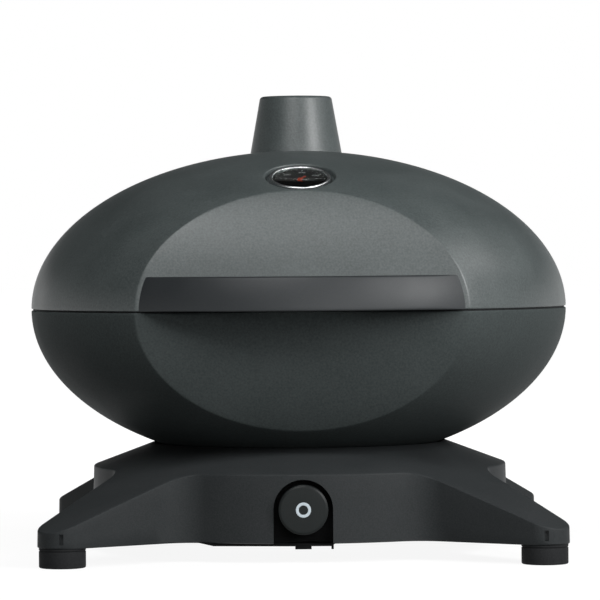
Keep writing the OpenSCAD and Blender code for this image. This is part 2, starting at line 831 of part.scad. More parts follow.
module lid_shell() color(cast_grey) difference() {
  union() {
    at_parting() difference() {
      intersection() {
        body_form(0);
        slab(parting_gap / 2, 2 * body_h);
      }
      body_form(shell_t);
    }
    // Boss under the thermometer's recess
    intersection() {
      at_thermo() translate([0, 0, -recess_d - recess_wall])
        cylinder(r = recess_r + recess_wall, h = 2 * recess_d + recess_wall);
      at_parting() body_form(shell_t / 2);
    }
  }
  at_thermo() {
    translate([0, 0, -recess_d]) cylinder(r = recess_r, h = 3 * recess_d);
    translate([0, 0, -2 * recess_d - recess_wall]) cylinder(r = probe_r + hole_fit, h = 3 * recess_d);
  }
  translate([0, chimney_y, parting_z + spigot_z]) cylinder(r = spigot_r + hole_fit, h = body_h);
  for (s = [-1, 1]) {
    at_handle_screw(s) screw_hole(2 * shell_t);
    at_handle_screw(s) translate([0, 0, -2 * shell_t]) cylinder(r = head_r + 1, h = 2 * shell_t);
    translate([s * hinge_screw_x, rear_y + leaf_t, parting_z + hinge_screw_z])
      rotate([90, 0, 0]) screw_hole(shell_t + 2 * leaf_t);
  }
}

// Tapered chimney with a round top edge and a spigot through the lid
module chimney() color(cast_grey) difference() {
  top_z = body_h + chimney_rise;
  low_z = dome_z(0, chimney_y + 2 * chimney_top_r) - eps;
  low_r = chimney_top_r + (top_z - low_z) * tan(chimney_slope);
  corner = chimney_round * tan((90 - chimney_slope) / 2);
  arc_c = [chimney_top_r - corner, top_z - chimney_round];
  union() {
    difference() {
      translate([0, chimney_y, parting_z]) rotate_extrude() polygon(concat(
        [[0, low_z], [low_r, low_z]],
        [for (i = [0 : 8]) let (a = chimney_slope + (90 - chimney_slope) * i / 8)
          arc_c + chimney_round * [cos(a), sin(a)]],
        [[0, top_z]]
      ));
      at_parting() egg(0);
    }
    translate([0, chimney_y, parting_z + spigot_z])
      cylinder(r = spigot_r, h = top_z - spigot_z - chimney_round);
  }
  translate([0, chimney_y, parting_z + spigot_z - eps]) cylinder(r = flue_r, h = top_z);
}

module chimney_ring() color(steel) intersection() {
  translate([0, chimney_y, parting_z + spigot_z]) difference() {
    cylinder(r = spigot_r + 8, h = body_h);
    translate([0, 0, -eps]) cylinder(r = spigot_r + hole_fit, h = 2 * body_h);
  }
  at_parting() egg(shell_t);
}

// Bar across the flattened front, open behind for the fingers
module handle() color(handle_black) difference() {
  at_parting() difference() {
    intersection() {
      egg(handle_inset);
      slab(parting_gap / 2, handle_h);
      translate([-body_r, -2 * body_r, 0]) cube([2 * body_r, 2 * body_r, body_h]);
    }
    egg(handle_inset + handle_t);
    rotate([0, 90, 0]) cylinder(r = front_r, h = 3 * body_r, center = true);
  }
  for (s = [-1, 1]) at_handle_screw(s) screw_hole(handle_screw_l + eps);
}

module handle_screw(s) {
  at_handle_screw(s) screw(handle_screw_l);
}

// Thermometer

case_wall = 2.5;
case_floor = 1;
ledge_in = 1;
dial_t = 0.6;
glass_t = 1;
glass_z = -bezel_sink - 0.7 - glass_t;
dial_top = -recess_d + case_floor + dial_t;
spindle_r = 1;
spindle_l = 8;
needle_z = dial_top + 0.5;
needle_t = 0.4;
glass_r = bezel_r - case_wall - hole_fit;

module thermo_case() color(chrome) at_thermo() translate([0, 0, -recess_d]) difference() {
  h = recess_d - bezel_sink;
  edge = 0.8;
  rotate_extrude() polygon([
    [0, 0], [bezel_r, 0], [bezel_r, h - edge], [bezel_r - edge, h], [0, h]
  ]);
  translate([0, 0, case_floor]) cylinder(r = bezel_r - case_wall - ledge_in, h = h);
  translate([0, 0, recess_d + glass_z]) cylinder(r = bezel_r - case_wall, h = h);
  translate([0, 0, -eps]) cylinder(r = spindle_r + run_fit, h = h);
}

module thermo_dial() color(iron_black) at_thermo() translate([0, 0, dial_top - dial_t]) difference() {
  cylinder(r = bezel_r - case_wall - ledge_in - hole_fit, h = dial_t);
  translate([0, 0, -eps]) cylinder(r = spindle_r + run_fit, h = 2);
}

module thermo_glass() color(clear) at_thermo() translate([0, 0, glass_z]) cylinder(r = glass_r, h = glass_t);

module thermo_stem() color(steel) at_thermo() translate([0, 0, -recess_d - probe_l]) difference() {
  cylinder(r = probe_r, h = probe_l);
  translate([0, 0, probe_l - spindle_l]) cylinder(r = spindle_r + run_fit, h = spindle_l + eps);
}

module thermo_nut() color(steel) at_thermo() difference() {
  nut_h = 5;
  translate([0, 0, -recess_d - recess_wall - nut_h]) cylinder(r = 9, h = nut_h, $fn = 6);
  translate([0, 0, -2 * recess_d - recess_wall - nut_h])
    cylinder(r = probe_r + hole_fit, h = 2 * recess_d + nut_h);
}

// Pointer with a tail, on a spindle that goes down into the probe
module thermo_needle() color(red) at_thermo() rotate(needle_rest) {
  tip = bezel_r - case_wall - ledge_in - 3;
  tail = 8;
  half_w = 0.9;
  translate([0, 0, needle_z]) linear_extrude(needle_t) {
    polygon([[-tail, -half_w], [0, -half_w], [tip, 0], [0, half_w], [-tail, half_w]]);
    circle(r = 2.2);
  }
  spindle_end = -recess_d - spindle_l + 1;
  translate([0, 0, spindle_end]) cylinder(r = spindle_r, h = needle_z + needle_t - spindle_end);
}

base_housing();
for (i = [1 : 4]) {
  foot(i);
  foot_screw(i);
  shield_screw(i);
}
heat_shield();
for (i = [1 : 3]) {
  bowl_screw(i);
  burner_post(i);
}
valve_bracket();
valve_body();
gas_jet();
gas_pipe();
gas_inlet();
tray_rail(-1);  // tray_rail_left
tray_rail(1);  // tray_rail_right
bowl_shell();
bowl_gasket();
bowl_hinge();
hinge_pin();
hinge_screw(-1, -1);  // bowl_hinge_screw_1
hinge_screw(1, -1);  // bowl_hinge_screw_2
venturi();
burner_ring();
igniter();
heat_diffuser();
grate(-1);  // grate_left
grate(1);  // grate_right
lid_shell();
chimney();
chimney_ring();
handle();
handle_screw(-1);  // handle_screw_left
handle_screw(1);  // handle_screw_right
lid_hinge();
hinge_screw(-1, 1);  // lid_hinge_screw_1
hinge_screw(1, 1);  // lid_hinge_screw_2
thermo_case();
thermo_dial();
thermo_glass();
thermo_stem();
thermo_nut();
thermo_needle();
valve_plunger();
knob();
knob_mark();
knob_stem();
drip_tray();
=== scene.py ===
# %% [markdown]
# # A countertop gas grill, dressed around its frame
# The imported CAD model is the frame: it says how big each piece is, where it sits and what it moves with.
# This lesson gives those pieces their looks. Each step says what the real piece is and how it is made there,
# then models it with bmesh operators, so the file can be read from top to bottom as a recipe.

# %% Load the frame
import json
import math

import bmesh
import bpy
from mathutils import Matrix, Vector

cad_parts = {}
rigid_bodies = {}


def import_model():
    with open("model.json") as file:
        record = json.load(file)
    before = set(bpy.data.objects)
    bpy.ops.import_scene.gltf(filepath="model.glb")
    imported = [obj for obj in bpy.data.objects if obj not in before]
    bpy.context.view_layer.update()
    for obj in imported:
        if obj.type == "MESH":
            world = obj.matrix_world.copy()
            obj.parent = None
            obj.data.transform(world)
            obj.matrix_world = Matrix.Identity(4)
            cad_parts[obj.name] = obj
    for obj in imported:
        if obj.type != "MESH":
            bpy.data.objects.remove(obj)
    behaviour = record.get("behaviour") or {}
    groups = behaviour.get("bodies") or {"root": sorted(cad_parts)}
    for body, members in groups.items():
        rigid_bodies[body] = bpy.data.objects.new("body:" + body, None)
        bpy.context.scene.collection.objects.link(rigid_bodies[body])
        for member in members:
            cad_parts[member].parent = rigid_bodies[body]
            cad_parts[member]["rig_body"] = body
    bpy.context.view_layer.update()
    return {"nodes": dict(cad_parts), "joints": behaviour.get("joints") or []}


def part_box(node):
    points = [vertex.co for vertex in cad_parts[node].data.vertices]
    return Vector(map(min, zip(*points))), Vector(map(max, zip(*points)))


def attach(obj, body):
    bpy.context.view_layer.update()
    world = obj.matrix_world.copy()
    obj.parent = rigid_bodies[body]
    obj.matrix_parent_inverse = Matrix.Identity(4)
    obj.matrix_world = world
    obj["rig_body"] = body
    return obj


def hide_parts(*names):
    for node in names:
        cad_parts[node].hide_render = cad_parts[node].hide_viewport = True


MM = 0.001
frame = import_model()

# %% [markdown]
# ## Sizes
# The lid and the bowl are one egg-shaped form, cut in two at the parting line. Its main sizes come from the
# frame's boxes, so the dressed pieces always fit the solids. Only what a box can't tell, such as a wall's
# thickness or a slope, is written as a number.

# %% Main sizes from the frame
lid_low, lid_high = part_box("lid_shell")
bowl_low, bowl_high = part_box("bowl_shell")
parting_z = round((lid_low.z + bowl_high.z) / 2, 4)
parting_gap = round(lid_low.z - bowl_high.z, 4)
body_r = round(lid_high.x, 3)
body_h = round(lid_high.z - parting_z, 3)
front_r = round(-bowl_low.y, 4)
rear_y = round(bowl_high.y, 4)
shell_t = 5 * MM
print("Egg:", body_r, body_h, "front", front_r, "rear", rear_y, "parting", parting_z, parting_gap)

# %% [markdown]
# ## Camera
# The photograph was taken with a long lens from 3.5 m away, a little above the parting line and turned less
# than a degree. A long lens keeps the ellipse of the body true. The horizon lies above the middle of the
# picture, so the camera tilts down slightly. It also rolls by less than half a degree.

# %% Set the camera
CAMERA_DISTANCE = 3.5
CAMERA_HEIGHT = 0.2728
CAMERA_TURN = math.radians(-0.86)
CAMERA_TILT = math.radians(0.818)
CAMERA_PAN = math.radians(0.021)
CAMERA_ROLL = math.radians(-0.41)

camera = bpy.data.objects.new("camera", bpy.data.cameras.new("camera"))
bpy.context.scene.collection.objects.link(camera)
bpy.context.scene.camera = camera
camera.data.sensor_width = 36
camera.data.lens = 233.3
camera.data.clip_end = 100
camera.matrix_world = (
    Matrix.Translation((CAMERA_DISTANCE * math.sin(CAMERA_TURN), -CAMERA_DISTANCE * math.cos(CAMERA_TURN),
                        CAMERA_HEIGHT))
    @ Matrix.Rotation(CAMERA_TURN - CAMERA_PAN, 4, "Z")
    @ Matrix.Rotation(math.pi / 2 - CAMERA_TILT, 4, "X")
    @ Matrix.Rotation(CAMERA_ROLL, 4, "Z"))
print("Camera at", [round(c, 3) for c in camera.matrix_world.translation], "lens", camera.data.lens)

# %% [markdown]
# ## Colours and nodes
# A shader works in linear light, but a colour is easiest to judge as an sRGB hex value. One function turns
# the one into the other, and one more adds a node with its settings and links, which keeps a material's
# recipe to a line for each node.

# %% Colour and node helpers
def linear(hex_colour):
    """Turns an sRGB hex colour into the linear one that a shader takes."""
    shares = [int(hex_colour[i:i + 2], 16) / 255 for i in (1, 3, 5)]
    return [c / 12.92 if c <= 0.04045 else ((c + 0.055) / 1.055) ** 2.4 for c in shares] + [1.0]


def add(tree, kind, inputs=(), **settings):
    """Adds a node. Each input is a constant, or a socket of another node to link."""
    node = tree.nodes.new("ShaderNode" + kind)
    for name, value in settings.items():
        setattr(node, name, value)
    for name, value in dict(inputs).items():
        if isinstance(value, bpy.types.NodeSocket):
            tree.links.new(value, node.inputs[name])
        else:
            node.inputs[name].default_value = value
    return node


def cleared(owner):
    """Switches the nodes of a material or a world on, and takes the default ones away."""
    owner.use_nodes = True
    owner.node_tree.nodes.clear()
    return owner.node_tree


def new_finish(name, sockets):
    """Starts a material: a Principled shader with constants on its own sockets."""
    material = bpy.data.materials.new(name)
    tree = cleared(material)
    shader = add(tree, "BsdfPrincipled", sockets)
    add(tree, "OutputMaterial", {"Surface": shader.outputs["BSDF"]})
    place = add(tree, "TexCoord").outputs["Object"]
    return material, tree, shader, place


def per_metre(size_mm):
    """The scale of a texture whose features are this many millimetres wide."""
    return 1 / (size_mm * MM)


# %% [markdown]
# ## Grained finishes
# Powder coat, moulded plastic, rubber and cast iron differ in colour, gloss and grit, but their surface has
# the same make-up: a fine grain that catches the light, and slow changes of tone where the coat is thicker or
# has been handled. One recipe with a few numbers serves them all. The grain is drawn about twice as coarse as
# the real one, because a pixel of the picture is almost a millimetre wide.

# %% Recipe for a grained finish
CLOUD_MM = 45
GRAIN_SHARE = 0.7
POLISH = 0.04


def grained(name, tone, dark_tone, roughness, grain_mm, grain_depth_mm, gloss=0.5):
    """A coat with fine grain, and slow clouds of tone and gloss."""
    material, tree, shader, place = new_finish(name, {"IOR": 1.5, "Specular IOR Level": gloss})
    cloud = add(tree, "TexNoise", {"Vector": place, "Scale": per_metre(CLOUD_MM), "Detail": 3})
    grain = add(tree, "TexNoise", {"Vector": place, "Scale": per_metre(grain_mm), "Detail": 2})
    both = add(tree, "Mix", {"Factor": GRAIN_SHARE, "A": cloud.outputs["Fac"], "B": grain.outputs["Fac"]})
    tones = add(tree, "ValToRGB", {"Fac": both.outputs["Result"]})
    tones.color_ramp.elements[0].position = 0.32
    tones.color_ramp.elements[0].color = linear(dark_tone)
    tones.color_ramp.elements[1].position = 0.68
    tones.color_ramp.elements[1].color = linear(tone)
    worn = add(tree, "MapRange", {"Value": cloud.outputs["Fac"], "From Min": 0.3, "From Max": 0.7,
                                  "To Min": roughness - POLISH, "To Max": roughness + POLISH})
    bump = add(tree, "Bump", {"Height": grain.outputs["Fac"], "Strength": 0.5,
                              "Distance": grain_depth_mm * MM})
    tree.links.new(tones.outputs["Color"], shader.inputs["Base Color"])
    tree.links.new(worn.outputs["Result"], shader.inputs["Roughness"])
    tree.links.new(bump.outputs["Normal"], shader.inputs["Normal"])
    return material


# %% Grained finishes
# Anthracite powder coat on the cast lid: satin, with a fine even grit
powder_coat = grained("anthracite_powder_coat", "#454b4b", "#323838", 0.44, 1.7, 0.22)
# The same coat on the bowl, which heat and grease have dulled until it hardly shines; its lighter tone is a
# little darker than the lid's, as painted shade on the half that faces down
shade_darkened_bowl_coat = grained("dulled_anthracite_powder_coat_with_painted_shade", "#3e4343", "#333838", 0.58, 1.7, 0.14, gloss=0.03)
# Glass-filled resin, moulded against a smooth tool: blacker and a little glossier than the coat
handle_resin = grained("satin_black_resin", "#242729", "#1f2224", 0.47, 1.2, 0.02, gloss=0.3)
# Base moulded in black polypropylene with a fine spark-eroded texture, which takes nearly all gloss away
moulded_plastic = grained("textured_black_polypropylene", "#2e3031", "#242728", 0.54, 1.2, 0.08, gloss=0.08)
# Knob of the same kind, from a smoother tool
knob_plastic = grained("satin_black_abs", "#1d2020", "#191c1c", 0.42, 0.9, 0.03, gloss=0.11)
# Rubber feet and gasket: no gloss, a dusty bloom
foot_rubber = grained("black_rubber", "#252627", "#1b1c1d", 0.7, 1.4, 0.05, gloss=0.08)
# Grates of cast iron under matt enamel
enamelled_iron = grained("enamelled_cast_iron", "#2a2b2d", "#1d1e20", 0.5, 2.4, 0.22, gloss=0.3)
# Bracket in black electro-coat over pressed sheet; on its tongue and wings the near-black finish is painted
# shade in the arch round the knob
black_sheet_and_arch_shade = grained("black_coated_sheet_and_painted_arch_shade", "#0e0f10", "#0a0b0b", 0.6, 1.5, 0.03, gloss=0.06)
# Glazed alumina of the igniter
igniter_ceramic = grained("glazed_alumina", "#ece6da", "#d8d0c2", 0.3, 2.0, 0.02)
print("Grained finishes:", len(bpy.data.materials))

# %% [markdown]
# ## Metals
# A bare metal shows how it was worked. Sheet keeps the long scratches of its rolling or brushing, a cast or
# turned fitting has a soft mottle, and steel over a flame turns dull and brown. Stretching the noise along
# one axis with a Mapping node gives the brushed line.

# %% Recipe for a metal
def metal(name, tone, dull_tone, roughness, line_mm, line_stretch, cloud_mm=30, depth_mm=0.01):
    """A bare metal with fine lines along X and clouds of a duller tone."""
    material, tree, shader, place = new_finish(name, {"Metallic": 1.0})
    along = add(tree, "Mapping", {"Vector": place, "Scale": (1 / line_stretch, 1.0, 1.0)})
    lines = add(tree, "TexNoise", {"Vector": along.outputs["Vector"], "Scale": per_metre(line_mm),
                                   "Detail": 3})
    cloud = add(tree, "TexNoise", {"Vector": place, "Scale": per_metre(cloud_mm), "Detail": 4})
    tones = add(tree, "ValToRGB", {"Fac": cloud.outputs["Fac"]})
    tones.color_ramp.elements[0].position = 0.35
    tones.color_ramp.elements[0].color = linear(dull_tone)
    tones.color_ramp.elements[1].position = 0.65
    tones.color_ramp.elements[1].color = linear(tone)
    gloss = add(tree, "MapRange", {"Value": lines.outputs["Fac"], "From Min": 0.3, "From Max": 0.7,
                                   "To Min": roughness * 0.75, "To Max": roughness * 1.25})
    bump = add(tree, "Bump", {"Height": lines.outputs["Fac"], "Strength": 0.4, "Distance": depth_mm * MM})
    tree.links.new(tones.outputs["Color"], shader.inputs["Base Color"])
    tree.links.new(gloss.outputs["Result"], shader.inputs["Roughness"])
    tree.links.new(bump.outputs["Normal"], shader.inputs["Normal"])
    return material


# %% Metals
# Aluminised sheet, rolled and lightly brushed
sheet_steel = metal("aluminised_sheet_steel", "#b4b6b8", "#9c9ea1", 0.34, 0.7, 40)
# Stainless tube over the flame, tempered brown and dull
burner_steel = metal("heat_tinted_stainless", "#a59a8c", "#6f665e", 0.42, 1.2, 6, 16)
# Zinc-plated screws, bright with a soft mottle
screw_steel = metal("zinc_plated_steel", "#c3c6c9", "#a7abb0", 0.28, 0.6, 1, 8)
# Turned brass fittings
valve_brass = metal("turned_brass", "#c3a057", "#a98645", 0.27, 0.5, 20, 10)
# Chrome plate over turned steel, brushed to a soft shine
bezel_chrome = metal("chrome_plate", "#e3e5e6", "#d3d6d8", 0.3, 0.5, 12, 14, 0.002)
print("Finishes so far:", len(bpy.data.materials))

# %% [markdown]
# ## Dial finishes
# The dial is anodised black sheet with printed marks, the needle is sprayed orange-red, and the window is
# plain glass. The window lets light through to the dial, so its shader is a clear one that is wiped unevenly.

# %% Dial, print, needle and glass
dial_black = grained("black_anodised_sheet", "#1c1d1f", "#17181a", 0.4, 0.7, 0.01, gloss=0.3)
dial_print = grained("white_screen_print", "#c9cbca", "#bcbfbf", 0.5, 0.5, 0.01)
off_print = grained("grey_white_pad_print", "#b9c3c9", "#aeb8be", 0.45, 0.5, 0.01, gloss=0.2)
needle_paint = grained("orange_red_paint", "#c8482a", "#b63c20", 0.4, 0.6, 0.01)
window_glass, glass_tree, glass_shader, glass_place = new_finish(
    "clear_float_glass", {"Base Color": linear("#f4f8f7"), "IOR": 1.45, "Transmission Weight": 1.0})
smear = add(glass_tree, "TexNoise", {"Vector": glass_place, "Scale": per_metre(12), "Detail": 3})
wiped = add(glass_tree, "MapRange", {"Value": smear.outputs["Fac"], "To Min": 0.0, "To Max": 0.06})
glass_tree.links.new(wiped.outputs["Result"], glass_shader.inputs["Roughness"])
print("Dial finishes:", [m.name for m in (dial_black, dial_print, off_print, needle_paint, window_glass)])

# %% [markdown]
# ## Making a piece
# Every piece goes the same way: a bmesh becomes a mesh with smooth shading and sharp creases, the object
# gets its finish, rides on a body of the frame and stands for the CAD nodes that it replaces. Its body is
# that of the node that it stands for, so the cells below are about shape alone.

# %% Piece helpers
CREASE = math.radians(38)


def new_piece(name, bm, finish, *nodes, like=None, slot=None):
    """Turns a bmesh into a piece that stands for CAD nodes, or only rides along with the node it is like."""
    mesh = bpy.data.meshes.new(name)
    bm.to_mesh(mesh)
    bm.free()
    mesh.shade_smooth()
    mesh.set_sharp_from_angle(angle=CREASE)
    piece = bpy.data.objects.new(name, mesh)
    bpy.context.scene.collection.objects.link(piece)
    mesh.materials.append(finish)
    owner = like or nodes[0]
    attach(piece, frame["nodes"][owner]["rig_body"])
    if nodes:
        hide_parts(*nodes)
    print(name, "has", len(mesh.polygons), "faces")


def join(bm, *others):
    """Adds the geometry of other bmeshes to this one."""
    for other in others:
        mesh = bpy.data.meshes.new("joined")
        other.to_mesh(mesh)
        other.free()
        bm.from_mesh(mesh)
        bpy.data.meshes.remove(mesh)
    return bm


def close_up(bm):
    """Merges doubles and turns every face outwards."""
    bmesh.ops.remove_doubles(bm, verts=bm.verts, dist=0.001 * MM)
    bmesh.ops.recalc_face_normals(bm, faces=bm.faces)
    return bm


def round_off(bm, edges, size_mm, clamp=True):
    """Rounds edges off with three faces each."""
    bmesh.ops.bevel(bm, geom=edges, offset=size_mm * MM, offset_type="OFFSET", affect="EDGES", segments=3,
                    profile=0.5, material=-1, clamp_overlap=clamp)
    return bm


def verts_of(geom):
    """The vertices among what a bmesh operator made."""
    return [g for g in geom if isinstance(g, bmesh.types.BMVert)]


def middle_of(node):
    """The middle of a CAD node's box."""
    low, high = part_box(node)
    return (low + high) / 2


# %% [markdown]
# ## Turned shapes
# Knob, feet, screws, chimney and thermometer are turned or have a round mould, so most shapes here are a
# profile that is spun about an axis. The profile is a chain of edges whose corners are rounded before the
# spin, and a matrix then puts the result in its place. Profiles are in millimetres, as on a maker's drawing.

# %% Turned shapes
def at(x, y, z):
    """A place in millimetres."""
    return Matrix.Translation((x * MM, y * MM, z * MM))


def round_corners(bm, verts, size):
    """Rounds corners of a chain of edges, or of a flat face, off."""
    bmesh.ops.bevel(bm, geom=verts, offset=size, offset_type="OFFSET", affect="VERTICES", segments=5,
                    profile=0.5, material=-1, clamp_overlap=False)


def lathe(profile, place=Matrix(), steps=96):
    """Spins points (radius, height) about Z. A third number rounds that corner off."""
    bm = bmesh.new()
    verts = [bm.verts.new((point[0] * MM, 0, point[1] * MM)) for point in profile]
    for pair in zip(verts, verts[1:]):
        bm.edges.new(pair)
    for vert, point in zip(verts, profile):
        if len(point) > 2:
            round_corners(bm, [vert], point[2] * MM)
    bmesh.ops.spin(bm, geom=bm.verts[:] + bm.edges[:], cent=(0, 0, 0), axis=(0, 0, 1),
                   angle=2 * math.pi, steps=steps, use_merge=True)
    close_up(bm)
    bmesh.ops.transform(bm, matrix=place, verts=bm.verts)
    return bm


def rod(radius, length, place, steps=64):
    """A plain round bar along Z from 0."""
    return lathe([(0, 0), (radius, 0), (radius, length), (0, length)], place, steps)


to_front = Matrix.Rotation(math.pi / 2, 4, "X")
to_back = Matrix.Rotation(-math.pi / 2, 4, "X")
to_right = Matrix.Rotation(math.pi / 2, 4, "Y")
print("A shape that is turned to the front has its axis along", list(to_front.col[2].xyz.to_tuple(1)))

# %% [markdown]
# ## Cutting and uniting
# Holes and openings are cut with the Boolean modifier. It needs objects, so both shapes become objects for a
# moment, and the result goes back to a bmesh. The exact solver copes with faces that lie close together.

# %% Booleans
def boolean(bm, tool, operation):
    """Cuts a bmesh with another one, or unites them, with Blender's exact solver."""
    objects = []
    for name, source in (("work", bm), ("tool", tool)):
        mesh = bpy.data.meshes.new(name)
        source.to_mesh(mesh)
        source.free()
        objects.append(bpy.data.objects.new(name, mesh))
        bpy.context.scene.collection.objects.link(objects[-1])
    work, cutter = objects
    modifier = work.modifiers.new("boolean", "BOOLEAN")
    modifier.operation = operation
    modifier.object = cutter
    modifier.solver = "EXACT"
    shaped = work.evaluated_get(bpy.context.evaluated_depsgraph_get())
    result = bmesh.new()
    result.from_mesh(shaped.to_mesh())
    for used in objects:
        mesh = used.data
        bpy.data.objects.remove(used)
        bpy.data.meshes.remove(mesh)
    return result


# %% [markdown]
# ## The cast form
# The lid and the bowl are cast as halves of one egg: an ellipsoid whose front is cut by a wide cylinder
# across it and whose back is cut flat. A ball that is spun about the front-to-back axis gives loops that run
# round the flattened front, so its rim can be a clean ring of faces with a crisp round edge. Each vertex of
# that ball is then moved to where its meridian meets the form.

# %% Points of the cast form
FACET_STEPS = 24
EDGE_STEPS = 4
DOME_STEPS = 80
BACK_STEPS = 8
MERIDIAN_STEPS = FACET_STEPS + EDGE_STEPS + DOME_STEPS + EDGE_STEPS + BACK_STEPS
HALF_TURN_STEPS = 150
FRONT_EDGE = 1.3 * MM
BACK_EDGE = 3 * MM


def ring_r(inset, z):
    """Radius of the egg, a wall's inset further in, at a height above the parting line."""
    return (body_r - inset) * math.sqrt(1 - (z / (body_h - inset)) ** 2)


def front_y(inset, z):
    """Distance of the flattened front from the middle at a height above the parting line."""
    return math.sqrt((front_r - inset) ** 2 - z * z)


def bezier(start, corner, end, t):
    """A point on the round that replaces a corner."""
    return start.lerp(corner, t).lerp(corner.lerp(end, t), t)


# %% Meridian of the form
def meridian_point(step, turn, inset):
    """Distance from the front-to-back axis and y of one step of a meridian, an inset inside the form."""
    radius, height, back_y = body_r - inset, body_h - inset, rear_y - inset
    rise = math.sin(turn)
    reach = 1 / math.hypot(math.cos(turn) / radius, rise / height)
    rim = math.sqrt((1 - ((front_r - inset) / radius) ** 2) / (1 / reach ** 2 - (rise / radius) ** 2))

    def on_front(out):
        return Vector((out, -front_y(inset, out * rise)))

    def on_egg(angle):
        return Vector((reach * math.sin(angle), -radius * math.cos(angle)))

    def angle_per_metre(angle):
        return 1 / math.hypot(radius * math.sin(angle), reach * math.cos(angle))

    rim_angle = math.acos(-on_front(rim).y / radius)
    back_angle = math.acos(-back_y / radius)
    first = rim_angle + FRONT_EDGE * angle_per_metre(rim_angle)
    last = back_angle - BACK_EDGE * angle_per_metre(back_angle)
    back_rim = on_egg(back_angle)
    back_start = Vector((back_rim.x - BACK_EDGE, back_y))
    if step <= FACET_STEPS:
        return on_front((rim - FRONT_EDGE) * step / FACET_STEPS)
    step -= FACET_STEPS
    if step < EDGE_STEPS:
        return bezier(on_front(rim - FRONT_EDGE), on_front(rim), on_egg(first), step / EDGE_STEPS)
    step -= EDGE_STEPS
    if step <= DOME_STEPS:
        return on_egg(first + (last - first) * step / DOME_STEPS)
    step -= DOME_STEPS
    if step < EDGE_STEPS:
        return bezier(on_egg(last), back_rim, back_start, step / EDGE_STEPS)
    return back_start.lerp(Vector((0, back_y)), (step - EDGE_STEPS) / BACK_STEPS)


# %% Half of the form
def half_form(up, inset, cut_z):
    """One half of the form as a closed solid. up is 1 for the lid and -1 for the bowl."""
    bm = bmesh.new()
    angles = [math.pi * i / MERIDIAN_STEPS for i in range(MERIDIAN_STEPS + 1)]
    verts = [bm.verts.new((math.sin(a), -math.cos(a), 0)) for a in angles]
    for pair in zip(verts, verts[1:]):
        bm.edges.new(pair)
    bmesh.ops.spin(bm, geom=bm.verts[:] + bm.edges[:], cent=(0, 0, 0), axis=(0, -up, 0),
                   angle=math.pi, steps=HALF_TURN_STEPS)
    bmesh.ops.remove_doubles(bm, verts=bm.verts, dist=1e-5)
    for vert in bm.verts:
        x, y, z = vert.co
        step = round(math.atan2(math.hypot(x, z), -y) / math.pi * MERIDIAN_STEPS)
        turn = math.atan2(z, x)
        out, depth = meridian_point(step, turn, inset)
        vert.co = (out * math.cos(turn), depth, out * math.sin(turn))
    if cut_z:
        bmesh.ops.bisect_plane(bm, geom=bm.verts[:] + bm.edges[:] + bm.faces[:], plane_co=(0, 0, cut_z),
                               plane_no=(0, 0, up), clear_inner=True)
        bmesh.ops.remove_doubles(bm, verts=[v for v in bm.verts if v.is_boundary], dist=0.6 * MM)
    bmesh.ops.holes_fill(bm, edges=[e for e in bm.edges if e.is_boundary], sides=0)
    bmesh.ops.recalc_face_normals(bm, faces=bm.faces)
    return bm


# %% [markdown]
# A wall of even thickness is the form with a smaller form taken out of it. The smaller one reaches a little
# past the rim, so the cut is clean. Holes are cut next, while the wall is still a plain solid that a boolean
# takes well, and both edges of the rim are rounded last.

# %% Shell of a half
RIM_ROUND = 1.0


def half_shell(up, *cutters):
    """A closed wall whose outer skin is the form, with holes cut and the edges of its rim rounded."""
    cut_z = up * parting_gap / 2
    bm = boolean(half_form(up, 0, cut_z), half_form(up, shell_t, 0), "DIFFERENCE")
    bmesh.ops.translate(bm, vec=(0, 0, parting_z), verts=bm.verts)
    for cutter in cutters:
        bm = boolean(bm, cutter, "DIFFERENCE")
    rim_z = parting_z + cut_z
    rim = [e for e in bm.edges if all(abs(v.co.z - rim_z) < 0.01 * MM for v in e.verts)
           and e.is_manifold and e.calc_face_angle() > math.radians(50)]
    round_off(bm, rim, RIM_ROUND, clamp=False)
    print("Half shell volume in litres:", round(bm.calc_volume() * 1000, 3))
    return bm


# %% [markdown]
# ## Lid
# The lid carries a thermometer in a round recess and a chimney over a hole. Both holes are cut with a
# boolean, and the recess is a turned cup that fills its hole: its lip is pulled onto the lid's curved surface
# ring by ring, which gives the soft edge that a cast and coated recess has.

# %% Thermometer's place
needle_joint = next(j for j in frame["joints"] if j["name"] == "needle_turn")
thermo_axis = -Vector(needle_joint["axis"])
thermo_tilt = math.atan2(-thermo_axis.y, thermo_axis.z)
at_thermo = Matrix.Translation(needle_joint["pos_m"]) @ Matrix.Rotation(thermo_tilt, 4, "X")
RECESS_R = 30.5
RECESS_DEPTH = 7.0
RECESS_FLOOR = -12.0
LIP_R = 32.4
LIP_ROUND = 1.6
PROBE_HOLE_R = 3.6
print("Thermometer tilts by", round(math.degrees(thermo_tilt), 2), "degrees")


def height_on_egg(x, y):
    """Height of the thermometer's own frame at which the egg's surface lies over x and y."""
    origin = at_thermo @ Vector((x, y, 0)) - Vector((0, 0, parting_z))
    size = Vector((body_r, body_r, body_h))
    a = sum((d / s) ** 2 for d, s in zip(thermo_axis, size))
    b = sum(2 * o * d / s ** 2 for o, d, s in zip(origin, thermo_axis, size))
    c = sum((o / s) ** 2 for o, s in zip(origin, size)) - 1
    return (-b + math.sqrt(b * b - 4 * a * c)) / (2 * a)


# %% Lid casting
chimney_low, chimney_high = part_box("chimney")
chimney_y = (chimney_low.y + chimney_high.y) / 2 / MM
SPIGOT_R = 30.0
CUT_DEPTH, SPIGOT_CUT_LOW, SPIGOT_CUT_L = 20, 50, 200
CUP_R = RECESS_R + 5
PLUG_R = LIP_R + 0.1
PLUG_LOW = -3

lid = half_shell(1, rod(LIP_R, 2 * CUT_DEPTH, at_thermo @ at(0, 0, -CUT_DEPTH)),
                 rod(SPIGOT_R, SPIGOT_CUT_L, at(0, chimney_y, parting_z / MM + SPIGOT_CUT_LOW)))

